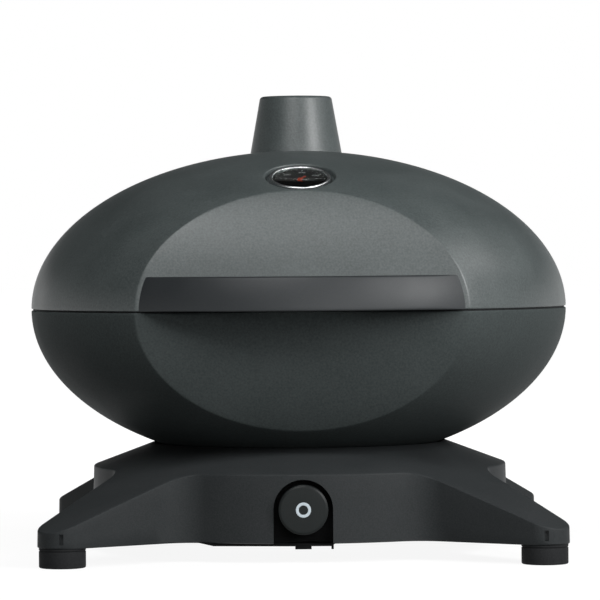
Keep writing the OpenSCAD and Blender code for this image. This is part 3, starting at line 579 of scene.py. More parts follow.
cup = lathe([(PROBE_HOLE_R, RECESS_FLOOR), (CUP_R, RECESS_FLOOR, 1), (CUP_R, PLUG_LOW - 1),
             (PLUG_R, PLUG_LOW), (PLUG_R, 0), (RECESS_R, 0, LIP_ROUND), (RECESS_R, -RECESS_DEPTH, 1.2),
             (PROBE_HOLE_R, -RECESS_DEPTH), (PROBE_HOLE_R, RECESS_FLOOR)])
for vert in cup.verts:
    x, y, z = vert.co
    if z > (PLUG_LOW - 0.5) * MM and math.hypot(x, y) > (RECESS_R - 0.1) * MM:
        vert.co.z += height_on_egg(x, y)
bmesh.ops.transform(cup, matrix=at_thermo, verts=cup.verts)
new_piece("lid_casting", join(lid, cup), powder_coat, "lid_shell")

# %% [markdown]
# ## Chimney
# A cast cone that stands on the lid over a round flue, with a soft top edge and a narrow flat lip. It is spun
# from its profile. The ring where the cone ends is then lifted to just under the lid's surface, which falls
# away towards the back, so the cone stands on the lid all the way round and nothing shows inside.

# %% Chimney
FLUE_R = 27.0
TOP_R = 33.0
CHIMNEY_SLOPE = math.radians(9.9)
JOIN_SINK = 2.5 * MM
top_mm = (chimney_high.z - parting_z) / MM
bottom_mm = (chimney_low.z - parting_z) / MM
join_mm = bottom_mm + 1


def cone_r(height):
    """Radius of the chimney's cone at a height above the parting line, in metres."""
    return TOP_R * MM + (top_mm * MM - height) * math.tan(CHIMNEY_SLOPE)


chimney = lathe([(FLUE_R, bottom_mm), (SPIGOT_R - 0.2, bottom_mm), (SPIGOT_R - 0.2, join_mm),
                 (cone_r(body_h) / MM, join_mm), (TOP_R, top_mm, 3.0), (FLUE_R, top_mm, 1.2),
                 (FLUE_R, bottom_mm)])
for vert in chimney.verts:
    if abs(vert.co.z - join_mm * MM) < 0.1 * MM:
        out = math.hypot(vert.co.x, vert.co.y + chimney_y * MM)
        height = body_h * math.sqrt(1 - (out / body_r) ** 2) - JOIN_SINK
        if math.hypot(vert.co.x, vert.co.y) > (SPIGOT_R + 1) * MM:
            vert.co *= cone_r(height) / cone_r(body_h)
        vert.co.z = height
bmesh.ops.transform(chimney, matrix=at(0, chimney_y, parting_z / MM), verts=chimney.verts)
new_piece("chimney_casting", close_up(chimney), powder_coat, "chimney")

# %% [markdown]
# ## Handle
# A moulded bar bridges the flattened front. Outside it continues the egg's outline, inside it leaves a gap
# for the fingers, and at both ends it tapers onto the lid. One rounded section is extruded in steps along the
# bar, and every ring of it is then bent to the egg, so the bar has soft edges all the way.

# %% Handle bar
HANDLE_INSET = 2 * MM
HANDLE_T = 14 * MM
HANDLE_EDGE = 1.4 * MM
HANDLE_CORNER = 1.2 * MM
HANDLE_STEPS = 96
SECTION_CUTS = 14
END_CLEAR = 0.25 * MM
handle_low, handle_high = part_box("handle")
handle_h = handle_high.z - handle_low.z


def handle_end(z):
    """Half length of the bar at a height above the parting line, with its upper corner rounded."""
    above = max(0, z - (handle_high.z - parting_z - HANDLE_CORNER))
    corner = HANDLE_CORNER - math.sqrt(max(0, HANDLE_CORNER ** 2 - above ** 2))
    return math.sqrt(ring_r(HANDLE_INSET, z) ** 2 - front_y(0, z) ** 2) - END_CLEAR - corner


bar = bmesh.new()
bmesh.ops.create_grid(bar, x_segments=1, y_segments=1, size=0.5,
                      matrix=Matrix.Diagonal((HANDLE_T, handle_h, 1, 1)))
round_corners(bar, bar.verts[:], HANDLE_EDGE)
long_edges = [e for e in bar.edges if e.calc_length() > handle_h / 2]
bmesh.ops.subdivide_edges(bar, edges=long_edges, cuts=SECTION_CUTS)
section = bar.faces[:]
for step in range(HANDLE_STEPS):
    made = bmesh.ops.extrude_face_region(bar, geom=section)
    if step:
        bmesh.ops.delete(bar, geom=section, context="FACES")
    section = [g for g in made["geom"] if isinstance(g, bmesh.types.BMFace)]
    bmesh.ops.translate(bar, vec=(0, 0, 1 / HANDLE_STEPS), verts=verts_of(made["geom"]))
for vert in bar.verts:
    depth, height, along = vert.co
    z = height + handle_h / 2 + handle_low.z - parting_z
    x = (2 * along - 1) * handle_end(z)
    outer = math.sqrt(ring_r(HANDLE_INSET, z) ** 2 - x * x)
    inner = max(math.sqrt(ring_r(HANDLE_INSET + HANDLE_T, z) ** 2 - x * x), front_y(0, z))
    vert.co = (x, -(inner + (outer - inner) * (depth / HANDLE_T + 0.5)), z + parting_z)
new_piece("handle_bar", close_up(bar), handle_resin, "handle")

# %% [markdown]
# ## Bowl
# The bowl is the same casting turned over. Inside, a ledge runs round the wall for the grates, lofted from
# rings of the form's plan. Holes for the burner's tube, the igniter and the drain are cut through the wall.
# Posts that carry the heat diffuser and bosses that take the screws then stand in it.

# %% Loft from rings
def around(point):
    """Angle of a point about the Z axis, counted from just below the +X axis."""
    return (math.atan2(point[1], point[0]) + 1e-4) % (2 * math.pi)


def loft(rings):
    """Extrudes a loop of vertices from ring to ring and back to the first. Rings are in order of angle."""
    bm = bmesh.new()
    made = bmesh.ops.create_circle(bm, segments=len(rings[0]), radius=1)["verts"]
    edges = bm.edges[:]
    for i, ring in enumerate(rings + rings[:1]):
        if i:
            geom = bmesh.ops.extrude_edge_only(bm, edges=edges)["geom"]
            edges = [g for g in geom if isinstance(g, bmesh.types.BMEdge)]
            made = verts_of(geom)
        for vert, place in zip(sorted(made, key=lambda v: around(v.co)), ring):
            vert.co = place
    return close_up(bm)


# %% Ledge of the bowl
LEDGE_W = 12 * MM
LEDGE_H = 6 * MM
LEDGE_EDGE = 0.8 * MM
LEDGE_STEPS = 240
GRATE_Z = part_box("grate_left")[0].z


def bowl_ring(inset, z):
    """The bowl's plan, round with a flat front and back, at a height and a distance inside its skin."""
    ring = []
    for i in range(LEDGE_STEPS):
        angle = 2 * math.pi * i / LEDGE_STEPS
        rise = math.sin(angle)
        flat = rear_y - inset if rise > 0 else front_y(inset, z - parting_z)
        out = min(ring_r(inset, z - parting_z), flat / max(abs(rise), 1e-6))
        ring.append((out * math.cos(angle), out * rise, z))
    return ring


wall_side, bar_side = shell_t - 1 * MM, shell_t + LEDGE_W
ledge = loft([bowl_ring(wall_side, GRATE_Z), bowl_ring(bar_side - LEDGE_EDGE, GRATE_Z),
              bowl_ring(bar_side, GRATE_Z - LEDGE_EDGE), bowl_ring(bar_side, GRATE_Z - LEDGE_H),
              bowl_ring(wall_side, GRATE_Z - LEDGE_H)])
print("Ledge at", round(GRATE_Z, 4), "with", len(ledge.faces), "faces")

# %% Bowl casting
DIFFUSER_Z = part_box("heat_diffuser")[0].z / MM
SHIELD_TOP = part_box("heat_shield")[1].z / MM
POST_R, POST_RING, POST_LOW = 6, 140, 104
BOSS_R, BOSS_HIGH = 8, 89
BURNER_RING_R = 85
BOWL_HOLES = [(9, 0, 0), (13, 0, -BURNER_RING_R), (3.6, 52, -90.07)]
HOLE_LOW, HOLE_L = 65, 60

bowl = half_shell(-1, *(rod(radius, HOLE_L, at(x, y, HOLE_LOW)) for radius, x, y in BOWL_HOLES))
join(bowl, ledge)
for i in range(4):
    a = math.radians(45 + 90 * i)
    join(bowl, lathe([(0, POST_LOW), (POST_R, POST_LOW), (POST_R, DIFFUSER_Z, 0.8), (0, DIFFUSER_Z)],
                     at(POST_RING * math.cos(a), POST_RING * math.sin(a), 0), 48))
for i in range(1, 4):
    middle = middle_of(f"bowl_screw_{i}") / MM
    join(bowl, lathe([(0, SHIELD_TOP), (BOSS_R, SHIELD_TOP, 0.8), (BOSS_R, BOSS_HIGH), (0, BOSS_HIGH)],
                     at(middle.x, middle.y, 0), 48))
# The bowl's coat is a little darker than the lid's, as painted shade
new_piece("bowl_casting", bowl, shade_darkened_bowl_coat, "bowl_shell")

# %% [markdown]
# ## Base
# The base is one moulding with a round middle and four legs under a sloping deck. Its outline is arcs and
# straight runs, so a ring of vertices is laid along that outline, and rings are extruded from it: down the
# deck's cone, round its edge, down the wall, round the bottom edge and up inside. Seen from above the outline
# never doubles back, so the vertices of a ring can be told apart by their angle.

# %% Outline of the base
BASE_R = 185 * MM
BASE_T = 4 * MM
LEG_END_R = 21 * MM
LEG_SPREAD = math.radians(10.4)
LEG_FILLET = 35 * MM
DECK_SLOPE = math.radians(20.5)
DECK_EDGE_Z = 76.3 * MM
DRAFT = math.radians(1.5)
END_STEPS = 12
SIDE_STEPS = 10
FILLET_STEPS = 12
DISC_STEPS = 14
HALF_LEG_STEPS = END_STEPS + SIDE_STEPS + FILLET_STEPS + DISC_STEPS

foot_low, foot_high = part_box("foot_4")
foot_x = (foot_low.x + foot_high.x) / 2
foot_y = (foot_low.y + foot_high.y) / 2
base_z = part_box("base_housing")[0].z
leg_d = math.hypot(foot_x, foot_y)
leg_a = math.atan2(foot_y, foot_x)
fillet_side = leg_d * math.sin(LEG_SPREAD) + LEG_END_R + LEG_FILLET
fillet_along = math.sqrt((BASE_R + LEG_FILLET) ** 2 - fillet_side ** 2)
fillet_centre = Vector((fillet_side * math.sin(LEG_SPREAD) + fillet_along * math.cos(LEG_SPREAD),
                        fillet_side * math.cos(LEG_SPREAD) - fillet_along * math.sin(LEG_SPREAD)))
fillet_a = math.atan2(fillet_centre.y, fillet_centre.x)
print("Legs", round(leg_d, 4), "long at", round(math.degrees(leg_a), 2), "degrees")


# %% Points of the outline
def polar(centre, radius, angle):
    """A point at an angle on a circle."""
    return centre + radius * Vector((math.cos(angle), math.sin(angle)))


def half_leg_point(step, half_span, grow):
    """A point of half a leg's outline, from the leg's end to the middle of the next round stretch."""
    end = Vector((leg_d, 0))
    square = math.pi / 2 - LEG_SPREAD
    if step <= END_STEPS:
        return polar(end, LEG_END_R + grow, square * step / END_STEPS)
    step -= END_STEPS
    if step <= SIDE_STEPS:
        start = polar(end, LEG_END_R + grow, square)
        stop = polar(fillet_centre, LEG_FILLET - grow, square + math.pi)
        return start.lerp(stop, step / SIDE_STEPS)
    step -= SIDE_STEPS
    if step <= FILLET_STEPS:
        turn = square + math.pi + (fillet_a - square) * step / FILLET_STEPS
        return polar(fillet_centre, LEG_FILLET - grow, turn)
    step -= FILLET_STEPS
    return polar(Vector((0, 0)), BASE_R + grow, fillet_a + (half_span - fillet_a) * step / DISC_STEPS)


def base_outline(grow):
    """The whole outline in order of angle, from the middle of the right side."""
    points = []
    spans = (leg_a, math.pi / 2 - leg_a)
    for i, angle in enumerate((leg_a, math.pi - leg_a, math.pi + leg_a, 2 * math.pi - leg_a)):
        before, after = spans if i % 2 == 0 else spans[::-1]
        turn = Matrix.Rotation(angle, 2)
        for step in range(HALF_LEG_STEPS, 0, -1):
            x, y = half_leg_point(step, before, grow)
            points.append(turn @ Vector((x, -y)))
        points += [turn @ half_leg_point(step, after, grow) for step in range(HALF_LEG_STEPS)]
    return points


def deck_z(point):
    """Height of the deck's cone over a point of the plan."""
    return DECK_EDGE_Z + math.tan(DECK_SLOPE) * (BASE_R - point.length)


# %% Rings of the base
SEAT_R = 130.2 * MM
DECK_SHARES = (0.33, 0.66)
DECK_EDGE = 1.4 * MM
BOTTOM_EDGE = 1.0 * MM
EDGE_RINGS = 5
WALL_RINGS = 3


def seat_ring(out, drop):
    """A round ring where the deck meets the bowl."""
    points = [p.normalized() * (SEAT_R + out) for p in base_outline(-DECK_EDGE)]
    return [(*p, deck_z(p) - drop) for p in points]


def edge_z(point):
    """Height of the wall's upper end, under the rounded edge."""
    return deck_z(point) - DECK_EDGE


rings = [seat_ring(0, 4 * MM), seat_ring(0.2 * MM, 0.6 * MM), seat_ring(1.2 * MM, 0)]
outline = base_outline(-DECK_EDGE)
for share in DECK_SHARES:
    points = [p.normalized() * (SEAT_R + (p.length - SEAT_R) * share) for p in outline]
    rings.append([(*p, deck_z(p)) for p in points])
for i in range(EDGE_RINGS + 1):
    bend = math.pi / 2 * i / EDGE_RINGS
    points = base_outline(DECK_EDGE * (math.sin(bend) - 1))
    rings.append([(*p, deck_z(p) - DECK_EDGE * (1 - math.cos(bend))) for p in points])
outline = base_outline(0)
for i in range(1, WALL_RINGS + 1):
    ring = []
    for p in outline:
        drop = (edge_z(p) - base_z - BOTTOM_EDGE) * i / WALL_RINGS
        ring.append((*(p * (1 + drop * math.tan(DRAFT) / p.length)), edge_z(p) - drop))
    rings.append(ring)
rings.append([(*(p * (1 - BOTTOM_EDGE / p.length / 3)), base_z + BOTTOM_EDGE / 3) for p in outline])
rings.append([(*(p * (1 - BOTTOM_EDGE / p.length)), base_z) for p in outline])
inner = base_outline(-BASE_T)
rings.append([(*p, base_z) for p in inner])
rings.append([(*p, deck_z(p) - BASE_T / math.cos(DECK_SLOPE)) for p in inner])
rings.append(seat_ring(0.2 * MM, BASE_T / math.cos(DECK_SLOPE)))
base = loft(rings)
print("Base rings:", len(rings), "open edges:", sum(e.is_boundary for e in base.edges))

# %% [markdown]
# The moulding has an arch around the knob, a gate for the drip tray and a hole for the gas inlet, all cut
# with booleans, and a shallow moulded slot in the end of each front leg. Bosses for the screws stand under
# the deck: plain rods whose upper ends are moved into the deck's slope.

# %% Openings of the base
def block(low, high):
    """A square bar between two corners."""
    bm = bmesh.new()
    size = [h - l for l, h in zip(low, high)]
    middle = [(l + h) / 2 for l, h in zip(low, high)]
    bmesh.ops.create_cube(bm, size=1.0, matrix=Matrix.Translation(middle) @ Matrix.Diagonal((*size, 1)))
    return bm


ARCH_R = 25.5
CUT_START, CUT_L = 100, 150
knob_joint = next(j for j in frame["joints"] if j["name"] == "knob_turn")
knob_z = knob_joint["pos_m"][2]
tray_low, tray_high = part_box("drip_tray")
GATE_CLEAR = 2 * MM
inlet_low, inlet_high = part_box("gas_inlet")
INLET_HOLE_R = 8
inlet_x = (inlet_low.x + inlet_high.x) / 2
SLOT_W, SLOT_LOW, SLOT_HIGH, SLOT_DEPTH = 3.4 * MM, 20.4 * MM, 29.4 * MM, 2.4 * MM

base = boolean(base, rod(ARCH_R, CUT_L, at(0, -CUT_START, knob_z / MM) @ to_front), "DIFFERENCE")
under_arch = block((-ARCH_R * MM, -(CUT_START + CUT_L) * MM, 0), (ARCH_R * MM, -CUT_START * MM, knob_z))
base = boolean(base, under_arch, "DIFFERENCE")
cuts = block((tray_low.x - GATE_CLEAR, BASE_R / 2, 0),
             (tray_high.x + GATE_CLEAR, 1.5 * BASE_R, tray_high.z + GATE_CLEAR))
join(cuts, rod(INLET_HOLE_R, CUT_L, at(inlet_x / MM, CUT_START, knob_z / MM) @ to_back))
leg_front = -foot_y - LEG_END_R
for side in (-1, 1):
    join(cuts, block((side * foot_x - SLOT_W / 2, leg_front - 5 * MM, SLOT_LOW),
                     (side * foot_x + SLOT_W / 2, leg_front + SLOT_DEPTH, SLOT_HIGH)))
base = close_up(boolean(base, cuts, "DIFFERENCE"))
print("Base with its openings has", len(base.faces), "faces")

# %% Bosses of the base
FOOT_BOSS_R, SHIELD_BOSS_R = 10, 8
for kind, radius, low_z in (("foot", FOOT_BOSS_R, base_z), ("shield", SHIELD_BOSS_R, SHIELD_TOP * MM)):
    for i in range(1, 5):
        middle = middle_of(f"{kind}_screw_{i}") / MM
        boss = rod(radius, 5, at(middle.x, middle.y, low_z / MM), 48)
        for vert in boss.verts:
            if vert.co.z > low_z + 1 * MM:
                vert.co.z = deck_z(vert.co.xy) - BASE_T / 2
        join(base, boss)
new_piece("base_moulding", base, moulded_plastic, "base_housing")

# %% [markdown]
# ## Feet and knob
# Both are turned shapes. A foot is a rubber puck with a fine groove under its top. The knob is a short drum
# with a thin rounded rim, hollow behind, and a printed ring on its face that marks the off position.

# %% Feet
FOOT_R, SCREW_WELL_R, SCREW_WELL_H = 20, 5.5, 6
foot_h = foot_high.z / MM
groove_low, groove_high, groove_r = foot_h - 2.8, foot_h - 2, FOOT_R - 0.8
foot_profile = [(0, SCREW_WELL_H), (SCREW_WELL_R, SCREW_WELL_H), (SCREW_WELL_R, 0), (FOOT_R, 0, 1.5),
                (FOOT_R, groove_low, 0.3), (groove_r, groove_low), (groove_r, groove_high),
                (FOOT_R, groove_high, 0.3), (FOOT_R, foot_h, 0.4), (0, foot_h)]
for i in range(1, 5):
    middle = middle_of(f"foot_{i}") / MM
    foot = lathe(foot_profile, at(middle.x, middle.y, 0))
    new_piece(f"rubber_foot_{i}", foot, foot_rubber, f"foot_{i}")

# %% Knob
knob_low, knob_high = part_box("knob")
KNOB_R = 21.25
knob_l = (knob_high.y - knob_low.y) / MM
KNOB_WALL, KNOB_FACE_T, HUB_OUT = 3, 5, 7
MARK_IN, MARK_OUT, MARK_T = 4.0, 6.5, 0.6
at_knob = Matrix.Translation((0, knob_high.y, knob_z)) @ to_front
face_back = knob_l - KNOB_FACE_T
groove_in, groove_out, groove_floor = MARK_IN - 0.2, MARK_OUT + 0.2, knob_l - MARK_T
knob_profile = [(0, 0), (HUB_OUT, 0), (HUB_OUT, face_back), (KNOB_R - KNOB_WALL, face_back),
                (KNOB_R - KNOB_WALL, 0), (KNOB_R, 0, 0.4), (KNOB_R, knob_l - 1.0, 0.3),
                (KNOB_R - 1.9, knob_l, 0.4), (groove_out, knob_l), (groove_out, groove_floor),
                (groove_in, groove_floor), (groove_in, knob_l), (0, knob_l)]
new_piece("control_knob", lathe(knob_profile, at_knob), knob_plastic, "knob")
ring_profile = [(MARK_IN, groove_floor), (MARK_OUT, groove_floor), (MARK_OUT, knob_l, 0.15),
                (MARK_IN, knob_l, 0.15), (MARK_IN, groove_floor)]
new_piece("knob_off_ring", lathe(ring_profile, at_knob), off_print, "knob_mark")

# %% [markdown]
# ## Thermometer
# A bimetal thermometer: a chrome case whose rim stands in the recess, a black dial with a printed scale, an
# orange-red pointer and a glass window. Case, dial and window are turned. The scale is a row of thin raised
# marks and plain numbers, set out by a loop over the sweep of the needle.

# %% Case, dial and window
BEZEL_R = round(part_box("thermo_case")[1].x / MM, 2)
DIAL_R = round(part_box("thermo_dial")[1].x / MM, 2)
WINDOW_R = round(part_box("thermo_glass")[1].x / MM, 2)
DIAL_TOP = -5.4
case_profile = [(0, -7), (BEZEL_R, -7), (BEZEL_R, -1.7, 1.3), (BEZEL_R - 2.3, -2.1, 0.5),
                (BEZEL_R - 2.4, -3.4), (DIAL_R + 0.1, -3.5), (DIAL_R + 0.1, -6), (0, -6)]
new_piece("thermometer_case", lathe(case_profile, at_thermo), bezel_chrome, "thermo_case")
dial_profile = [(0, -6), (DIAL_R, -6), (DIAL_R, DIAL_TOP, 0.15), (0, DIAL_TOP)]
new_piece("thermometer_dial", lathe(dial_profile, at_thermo), dial_black, "thermo_dial")
glass_profile = [(0, -3.4), (WINDOW_R, -3.4, 0.2), (WINDOW_R, -2.4, 0.2), (0, -2.4)]
new_piece("thermometer_window", lathe(glass_profile, at_thermo), window_glass, "thermo_glass")

# %% Scale of the dial
NEEDLE_REST = 234
SWEEP = 250
DIVISIONS = 20
NUMBER_STEP = 25
NUMBER_R = DIAL_R - 7.2
NUMBER_H = 4.2
INK = 0.06


def printed_number(text, place):
    """Plain digits, made a mesh before they are put in place."""
    curve = bpy.data.curves.new("digits", "FONT")
    curve.body = text
    curve.size = NUMBER_H * MM
    curve.align_x = "CENTER"
    curve.align_y = "CENTER"
    curve.extrude = INK / 2 * MM
    digits = bpy.data.objects.new("digits", curve)
    bpy.context.scene.collection.objects.link(digits)
    bpy.context.view_layer.update()
    bm = bmesh.new()
    bm.from_mesh(digits.evaluated_get(bpy.context.evaluated_depsgraph_get()).to_mesh())
    bpy.data.objects.remove(digits)
    bpy.data.curves.remove(curve)
    bmesh.ops.transform(bm, matrix=place, verts=bm.verts)
    return bm


scale = bmesh.new()
for i in range(DIVISIONS + 1):
    degrees = NEEDLE_REST - SWEEP * i / DIVISIONS
    angle = math.radians(degrees)
    major = i % 4 == 0
    length, half_w = (3.0, 0.35) if major else (1.6, 0.2)
    tick = block(((DIAL_R - 1 - length) * MM, -half_w * MM, DIAL_TOP * MM),
                 ((DIAL_R - 1) * MM, half_w * MM, (DIAL_TOP + INK) * MM))
    bmesh.ops.transform(tick, matrix=Matrix.Rotation(angle, 4, "Z"), verts=tick.verts)
    join(scale, tick)
    if major:
        place = at(NUMBER_R * math.cos(angle), NUMBER_R * math.sin(angle), DIAL_TOP + INK / 2)
        join(scale, printed_number(str(NUMBER_STEP * i), place))
bmesh.ops.transform(scale, matrix=at_thermo, verts=scale.verts)
new_piece("dial_scale", scale, dial_print, like="thermo_dial", slot="off_mark")

# %% Pointer
POINTER_Z = -4.9
POINTER_T = 0.4
POINTER_TIP = DIAL_R - 2.9
POINTER_TAIL = 8
POINTER_HALF_W = 0.9
HUB_R = 2.2
pointer = bmesh.new()
corners = [(-POINTER_TAIL, -POINTER_HALF_W), (0, -POINTER_HALF_W), (POINTER_TIP, -0.25), (POINTER_TIP, 0.25),
           (0, POINTER_HALF_W), (-POINTER_TAIL, POINTER_HALF_W)]
blade = pointer.faces.new([pointer.verts.new((x * MM, y * MM, POINTER_Z * MM)) for x, y in corners])
raised = bmesh.ops.extrude_face_region(pointer, geom=[blade])["geom"]
bmesh.ops.translate(pointer, vec=(0, 0, POINTER_T * MM), verts=verts_of(raised))
close_up(pointer)
round_off(pointer, [e for e in pointer.edges if e.calc_face_angle() > math.radians(60)], 0.1)
join(pointer, lathe([(0, POINTER_Z - 0.1), (HUB_R, POINTER_Z - 0.1), (HUB_R, POINTER_Z + 0.8, 0.35),
                     (0, POINTER_Z + 0.9)], steps=48),
     rod(1, 9, at(0, 0, POINTER_Z - 9), 24))
bmesh.ops.transform(pointer, matrix=at_thermo @ Matrix.Rotation(math.radians(NEEDLE_REST), 4, "Z"),
                    verts=pointer.verts)
new_piece("thermometer_pointer", pointer, needle_paint, "thermo_needle")

# %% [markdown]
# ## Screws
# All the screws are pan heads with a hexagon socket. The head and the shank are turned, and the socket is cut
# with a six-sided rod. The frame's box says which way a screw points: the upright ones have their head below,
# and the others have it behind.

# %% Screws
HEAD_R, HEAD_H, SHANK_R, SOCKET_R, SOCKET_DEPTH = 4.5, 2.5, 2.0, 2.2, 1.6
screw_nodes = [name for name in sorted(frame["nodes"]) if "_screw" in name]
for name in screw_nodes:
    low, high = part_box(name)
    middle = middle_of(name)
    if high.z - low.z > high.y - low.y:
        shank = (high.z - low.z) / MM - HEAD_H
        place = Matrix.Translation((middle.x, middle.y, low.z + HEAD_H * MM))
    else:
        shank = (high.y - low.y) / MM - HEAD_H
        place = Matrix.Translation((middle.x, high.y - HEAD_H * MM, middle.z)) @ to_front
    screw = lathe([(0, -HEAD_H), (SOCKET_R + 0.9, -HEAD_H, 0.3), (HEAD_R, -HEAD_H + 1.1, 0.5),
                   (HEAD_R, 0, 0.1), (SHANK_R, 0), (SHANK_R, shank, 0.5), (0, shank)], place, 48)
    socket = rod(SOCKET_R, SOCKET_DEPTH + 1, place @ at(0, 0, -HEAD_H - 1), 6)
    new_piece("socket_" + name, boolean(screw, socket, "DIFFERENCE"), screw_steel, name)

# %% [markdown]
# ## Grates
# Two cast half grates lie on the bowl's ledge. The frame of one is a ring with a rounded section that follows
# a D-shaped plan, and its bars are square bars with rounded edges. The second grate is the mirror image, and
# a mirrored mesh has its faces turned inside out, so its normals are worked out again.

# %% Plan of a grate
GRATE_STEPS = 200
grate_low, grate_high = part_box("grate_right")
grate_x = (grate_low.x + grate_high.x) / 2
print("Half grate from", round(grate_low.x, 4), "to", round(grate_high.x, 4))


def grate_plan(inset, z):
    """The D-shaped plan around the grate's middle, an inset further in."""
    ring = []
    radius = grate_high.x - inset
    for i in range(GRATE_STEPS):
        dx, dy = math.cos(2 * math.pi * i / GRATE_STEPS), math.sin(2 * math.pi * i / GRATE_STEPS)
        ahead = grate_x * dx
        out = math.sqrt(ahead ** 2 - grate_x ** 2 + radius ** 2) - ahead
        flat_y = (grate_high.y if dy > 0 else -grate_low.y) - inset
        out = min(out, flat_y / max(abs(dy), 1e-6))
        if dx < 0:
            out = min(out, (grate_x - grate_low.x - inset) / -dx)
        ring.append((out * dx, out * dy, z))
    return ring


# %% Grates
BAR_W, BAR_PITCH, FRAME_W, BAR_EDGE, BAR_END, CROSS_Y = 5 * MM, 16 * MM, 7, 1.3, 3 * MM, 80 * MM


def rounded_bar(low, high, edge_mm):
    """A square bar with rounded edges."""
    bm = block(low, high)
    return round_off(bm, bm.edges[:], edge_mm)


def grate():
    """The right half grate."""
    height = (grate_high.z - grate_low.z) / MM
    near, far, top = BAR_EDGE, FRAME_W - BAR_EDGE, height - BAR_EDGE
    rings = []
    for i, (inset, up) in enumerate(((near, near), (far, near), (far, top), (near, top))):
        for step in range(4):
            bend = math.pi / 2 * (i + step / 3) + math.pi
            rings.append(grate_plan((inset + BAR_EDGE * math.cos(bend)) * MM,
                                    grate_low.z + (up + BAR_EDGE * math.sin(bend)) * MM))
    bm = loft(rings)
    bmesh.ops.translate(bm, vec=(grate_x, 0, 0), verts=bm.verts)
    radius = grate_high.x
    x = BAR_PITCH
    while x < radius - FRAME_W * MM:
        reach = math.sqrt(radius ** 2 - x * x)
        low = (x - BAR_W / 2, -min(reach, -grate_low.y) + BAR_END, grate_low.z + 0.1 * MM)
        high = (x + BAR_W / 2, min(reach, grate_high.y) - BAR_END, grate_high.z - 0.1 * MM)
        join(bm, rounded_bar(low, high, BAR_EDGE))
        x += BAR_PITCH
    reach = math.sqrt(radius ** 2 - CROSS_Y ** 2)
    for y in (-CROSS_Y, CROSS_Y):
        join(bm, rounded_bar((grate_low.x + 2 * MM, y - BAR_W / 2, grate_low.z + 0.2 * MM),
                             (reach - BAR_END, y + BAR_W / 2, grate_high.z - 0.5 * MM), BAR_EDGE))
    return bm


new_piece("grate_casting_right", grate(), enamelled_iron, "grate_right")
left = grate()
bmesh.ops.scale(left, vec=(-1, 1, 1), verts=left.verts)
bmesh.ops.recalc_face_normals(left, faces=left.faces)
new_piece("grate_casting_left", left, enamelled_iron, "grate_left")

# %% [markdown]
# ## Heat diffuser
# A pressed dish over the burner keeps fat off the flame and spreads the heat. It is turned from its section,
# and a ring of slots with round ends is cut through its floor with one boolean.

# %% Heat diffuser
diffuser_low, diffuser_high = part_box("heat_diffuser")
DISH_R = diffuser_high.x / MM
SHEET_T = 1.5
SLOT_COUNT, DISH_SLOT_W, SLOT_CUT_L = 18, 6, 6
slot_in, slot_out = DISH_R * 0.35, DISH_R * 0.78
low_mm, high_mm = diffuser_low.z / MM, diffuser_high.z / MM
dish = lathe([(0, low_mm), (DISH_R, low_mm, 2.5), (DISH_R, high_mm, 0.6), (DISH_R - SHEET_T, high_mm, 0.6),
              (DISH_R - SHEET_T, low_mm + SHEET_T, 1.2), (0, low_mm + SHEET_T)], steps=160)
slots = bmesh.new()
half_w = DISH_SLOT_W / 2
cut_low = low_mm - 2
for i in range(SLOT_COUNT):
    slot = block(((slot_in + half_w) * MM, -half_w * MM, cut_low * MM),
                 ((slot_out - half_w) * MM, half_w * MM, (cut_low + SLOT_CUT_L) * MM))
    for end in (slot_in + half_w, slot_out - half_w):
        slot = boolean(slot, rod(half_w, SLOT_CUT_L, at(end, 0, cut_low), 24), "UNION")
    bmesh.ops.transform(slot, matrix=Matrix.Rotation(2 * math.pi * i / SLOT_COUNT, 4, "Z"), verts=slot.verts)
    join(slots, slot)
new_piece("diffuser_dish", boolean(dish, slots, "DIFFERENCE"), sheet_steel, "heat_diffuser")

# %% [markdown]
# ## Hose nipple
# A hose pushes onto a brass nipple at the back. Its barbs are a row of short cones in the turned profile, and
# the nut behind them is the same kind of spin with only six steps.

# %% Hose nipple
BORE_R, NUT_R, NUT_L, INLET_SHANK_R, NIPPLE_L, BARB_R = 3.25, 9, 12, 6, 28, 4.75
BARBS = 4
inlet_l = (inlet_high.y - inlet_low.y) / MM
at_inlet = Matrix.Translation((inlet_x, inlet_low.y, knob_z)) @ to_back
nipple = [(BORE_R, 0.3), (INLET_SHANK_R, 0.3), (INLET_SHANK_R, inlet_l - NIPPLE_L, 0.4)]
for i in range(BARBS):
    start = inlet_l - NIPPLE_L + 0.5 + i * (NIPPLE_L - 1) / BARBS
    nipple += [(BARB_R - 0.8, start), (BARB_R, start + 0.5, 0.15), (BARB_R - 0.6, start + 5)]
nipple += [(BARB_R - 0.8, inlet_l, 0.3), (BORE_R, inlet_l), (BORE_R, 0.3)]
nut = lathe([(BORE_R + 1, 0), (NUT_R, 0, 0.8), (NUT_R, NUT_L, 0.8), (BORE_R + 1, NUT_L), (BORE_R + 1, 0)],
            at_inlet, 6)
new_piece("hose_nipple", join(lathe(nipple, at_inlet, 64), nut), valve_brass, "gas_inlet")

# %% [markdown]
# ## Hinge pin and igniter
# The pin is a turned rod with domed heads. The igniter is a glazed insulator with a shoulder, and a bent wire
# in its tip reaches over the burner. The wire is a second piece, because it is another material.

# %% Hinge pin
pin_low, pin_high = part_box("hinge_pin")
PIN_R, PIN_HEAD_R, PIN_HEAD_T = 3, 4.5, 2
pin_l = (pin_high.x - pin_low.x) / MM
pin_middle = middle_of("hinge_pin")
pin = lathe([(0, 0), (PIN_HEAD_R, 0, 0.9), (PIN_HEAD_R, PIN_HEAD_T, 0.2), (PIN_R, PIN_HEAD_T),
             (PIN_R, pin_l - PIN_HEAD_T), (PIN_HEAD_R, pin_l - PIN_HEAD_T, 0.2), (PIN_HEAD_R, pin_l, 0.9),
             (0, pin_l)], Matrix.Translation((pin_low.x, pin_middle.y, pin_middle.z)) @ to_right, 48)
new_piece("turned_hinge_pin", pin, screw_steel, "hinge_pin")

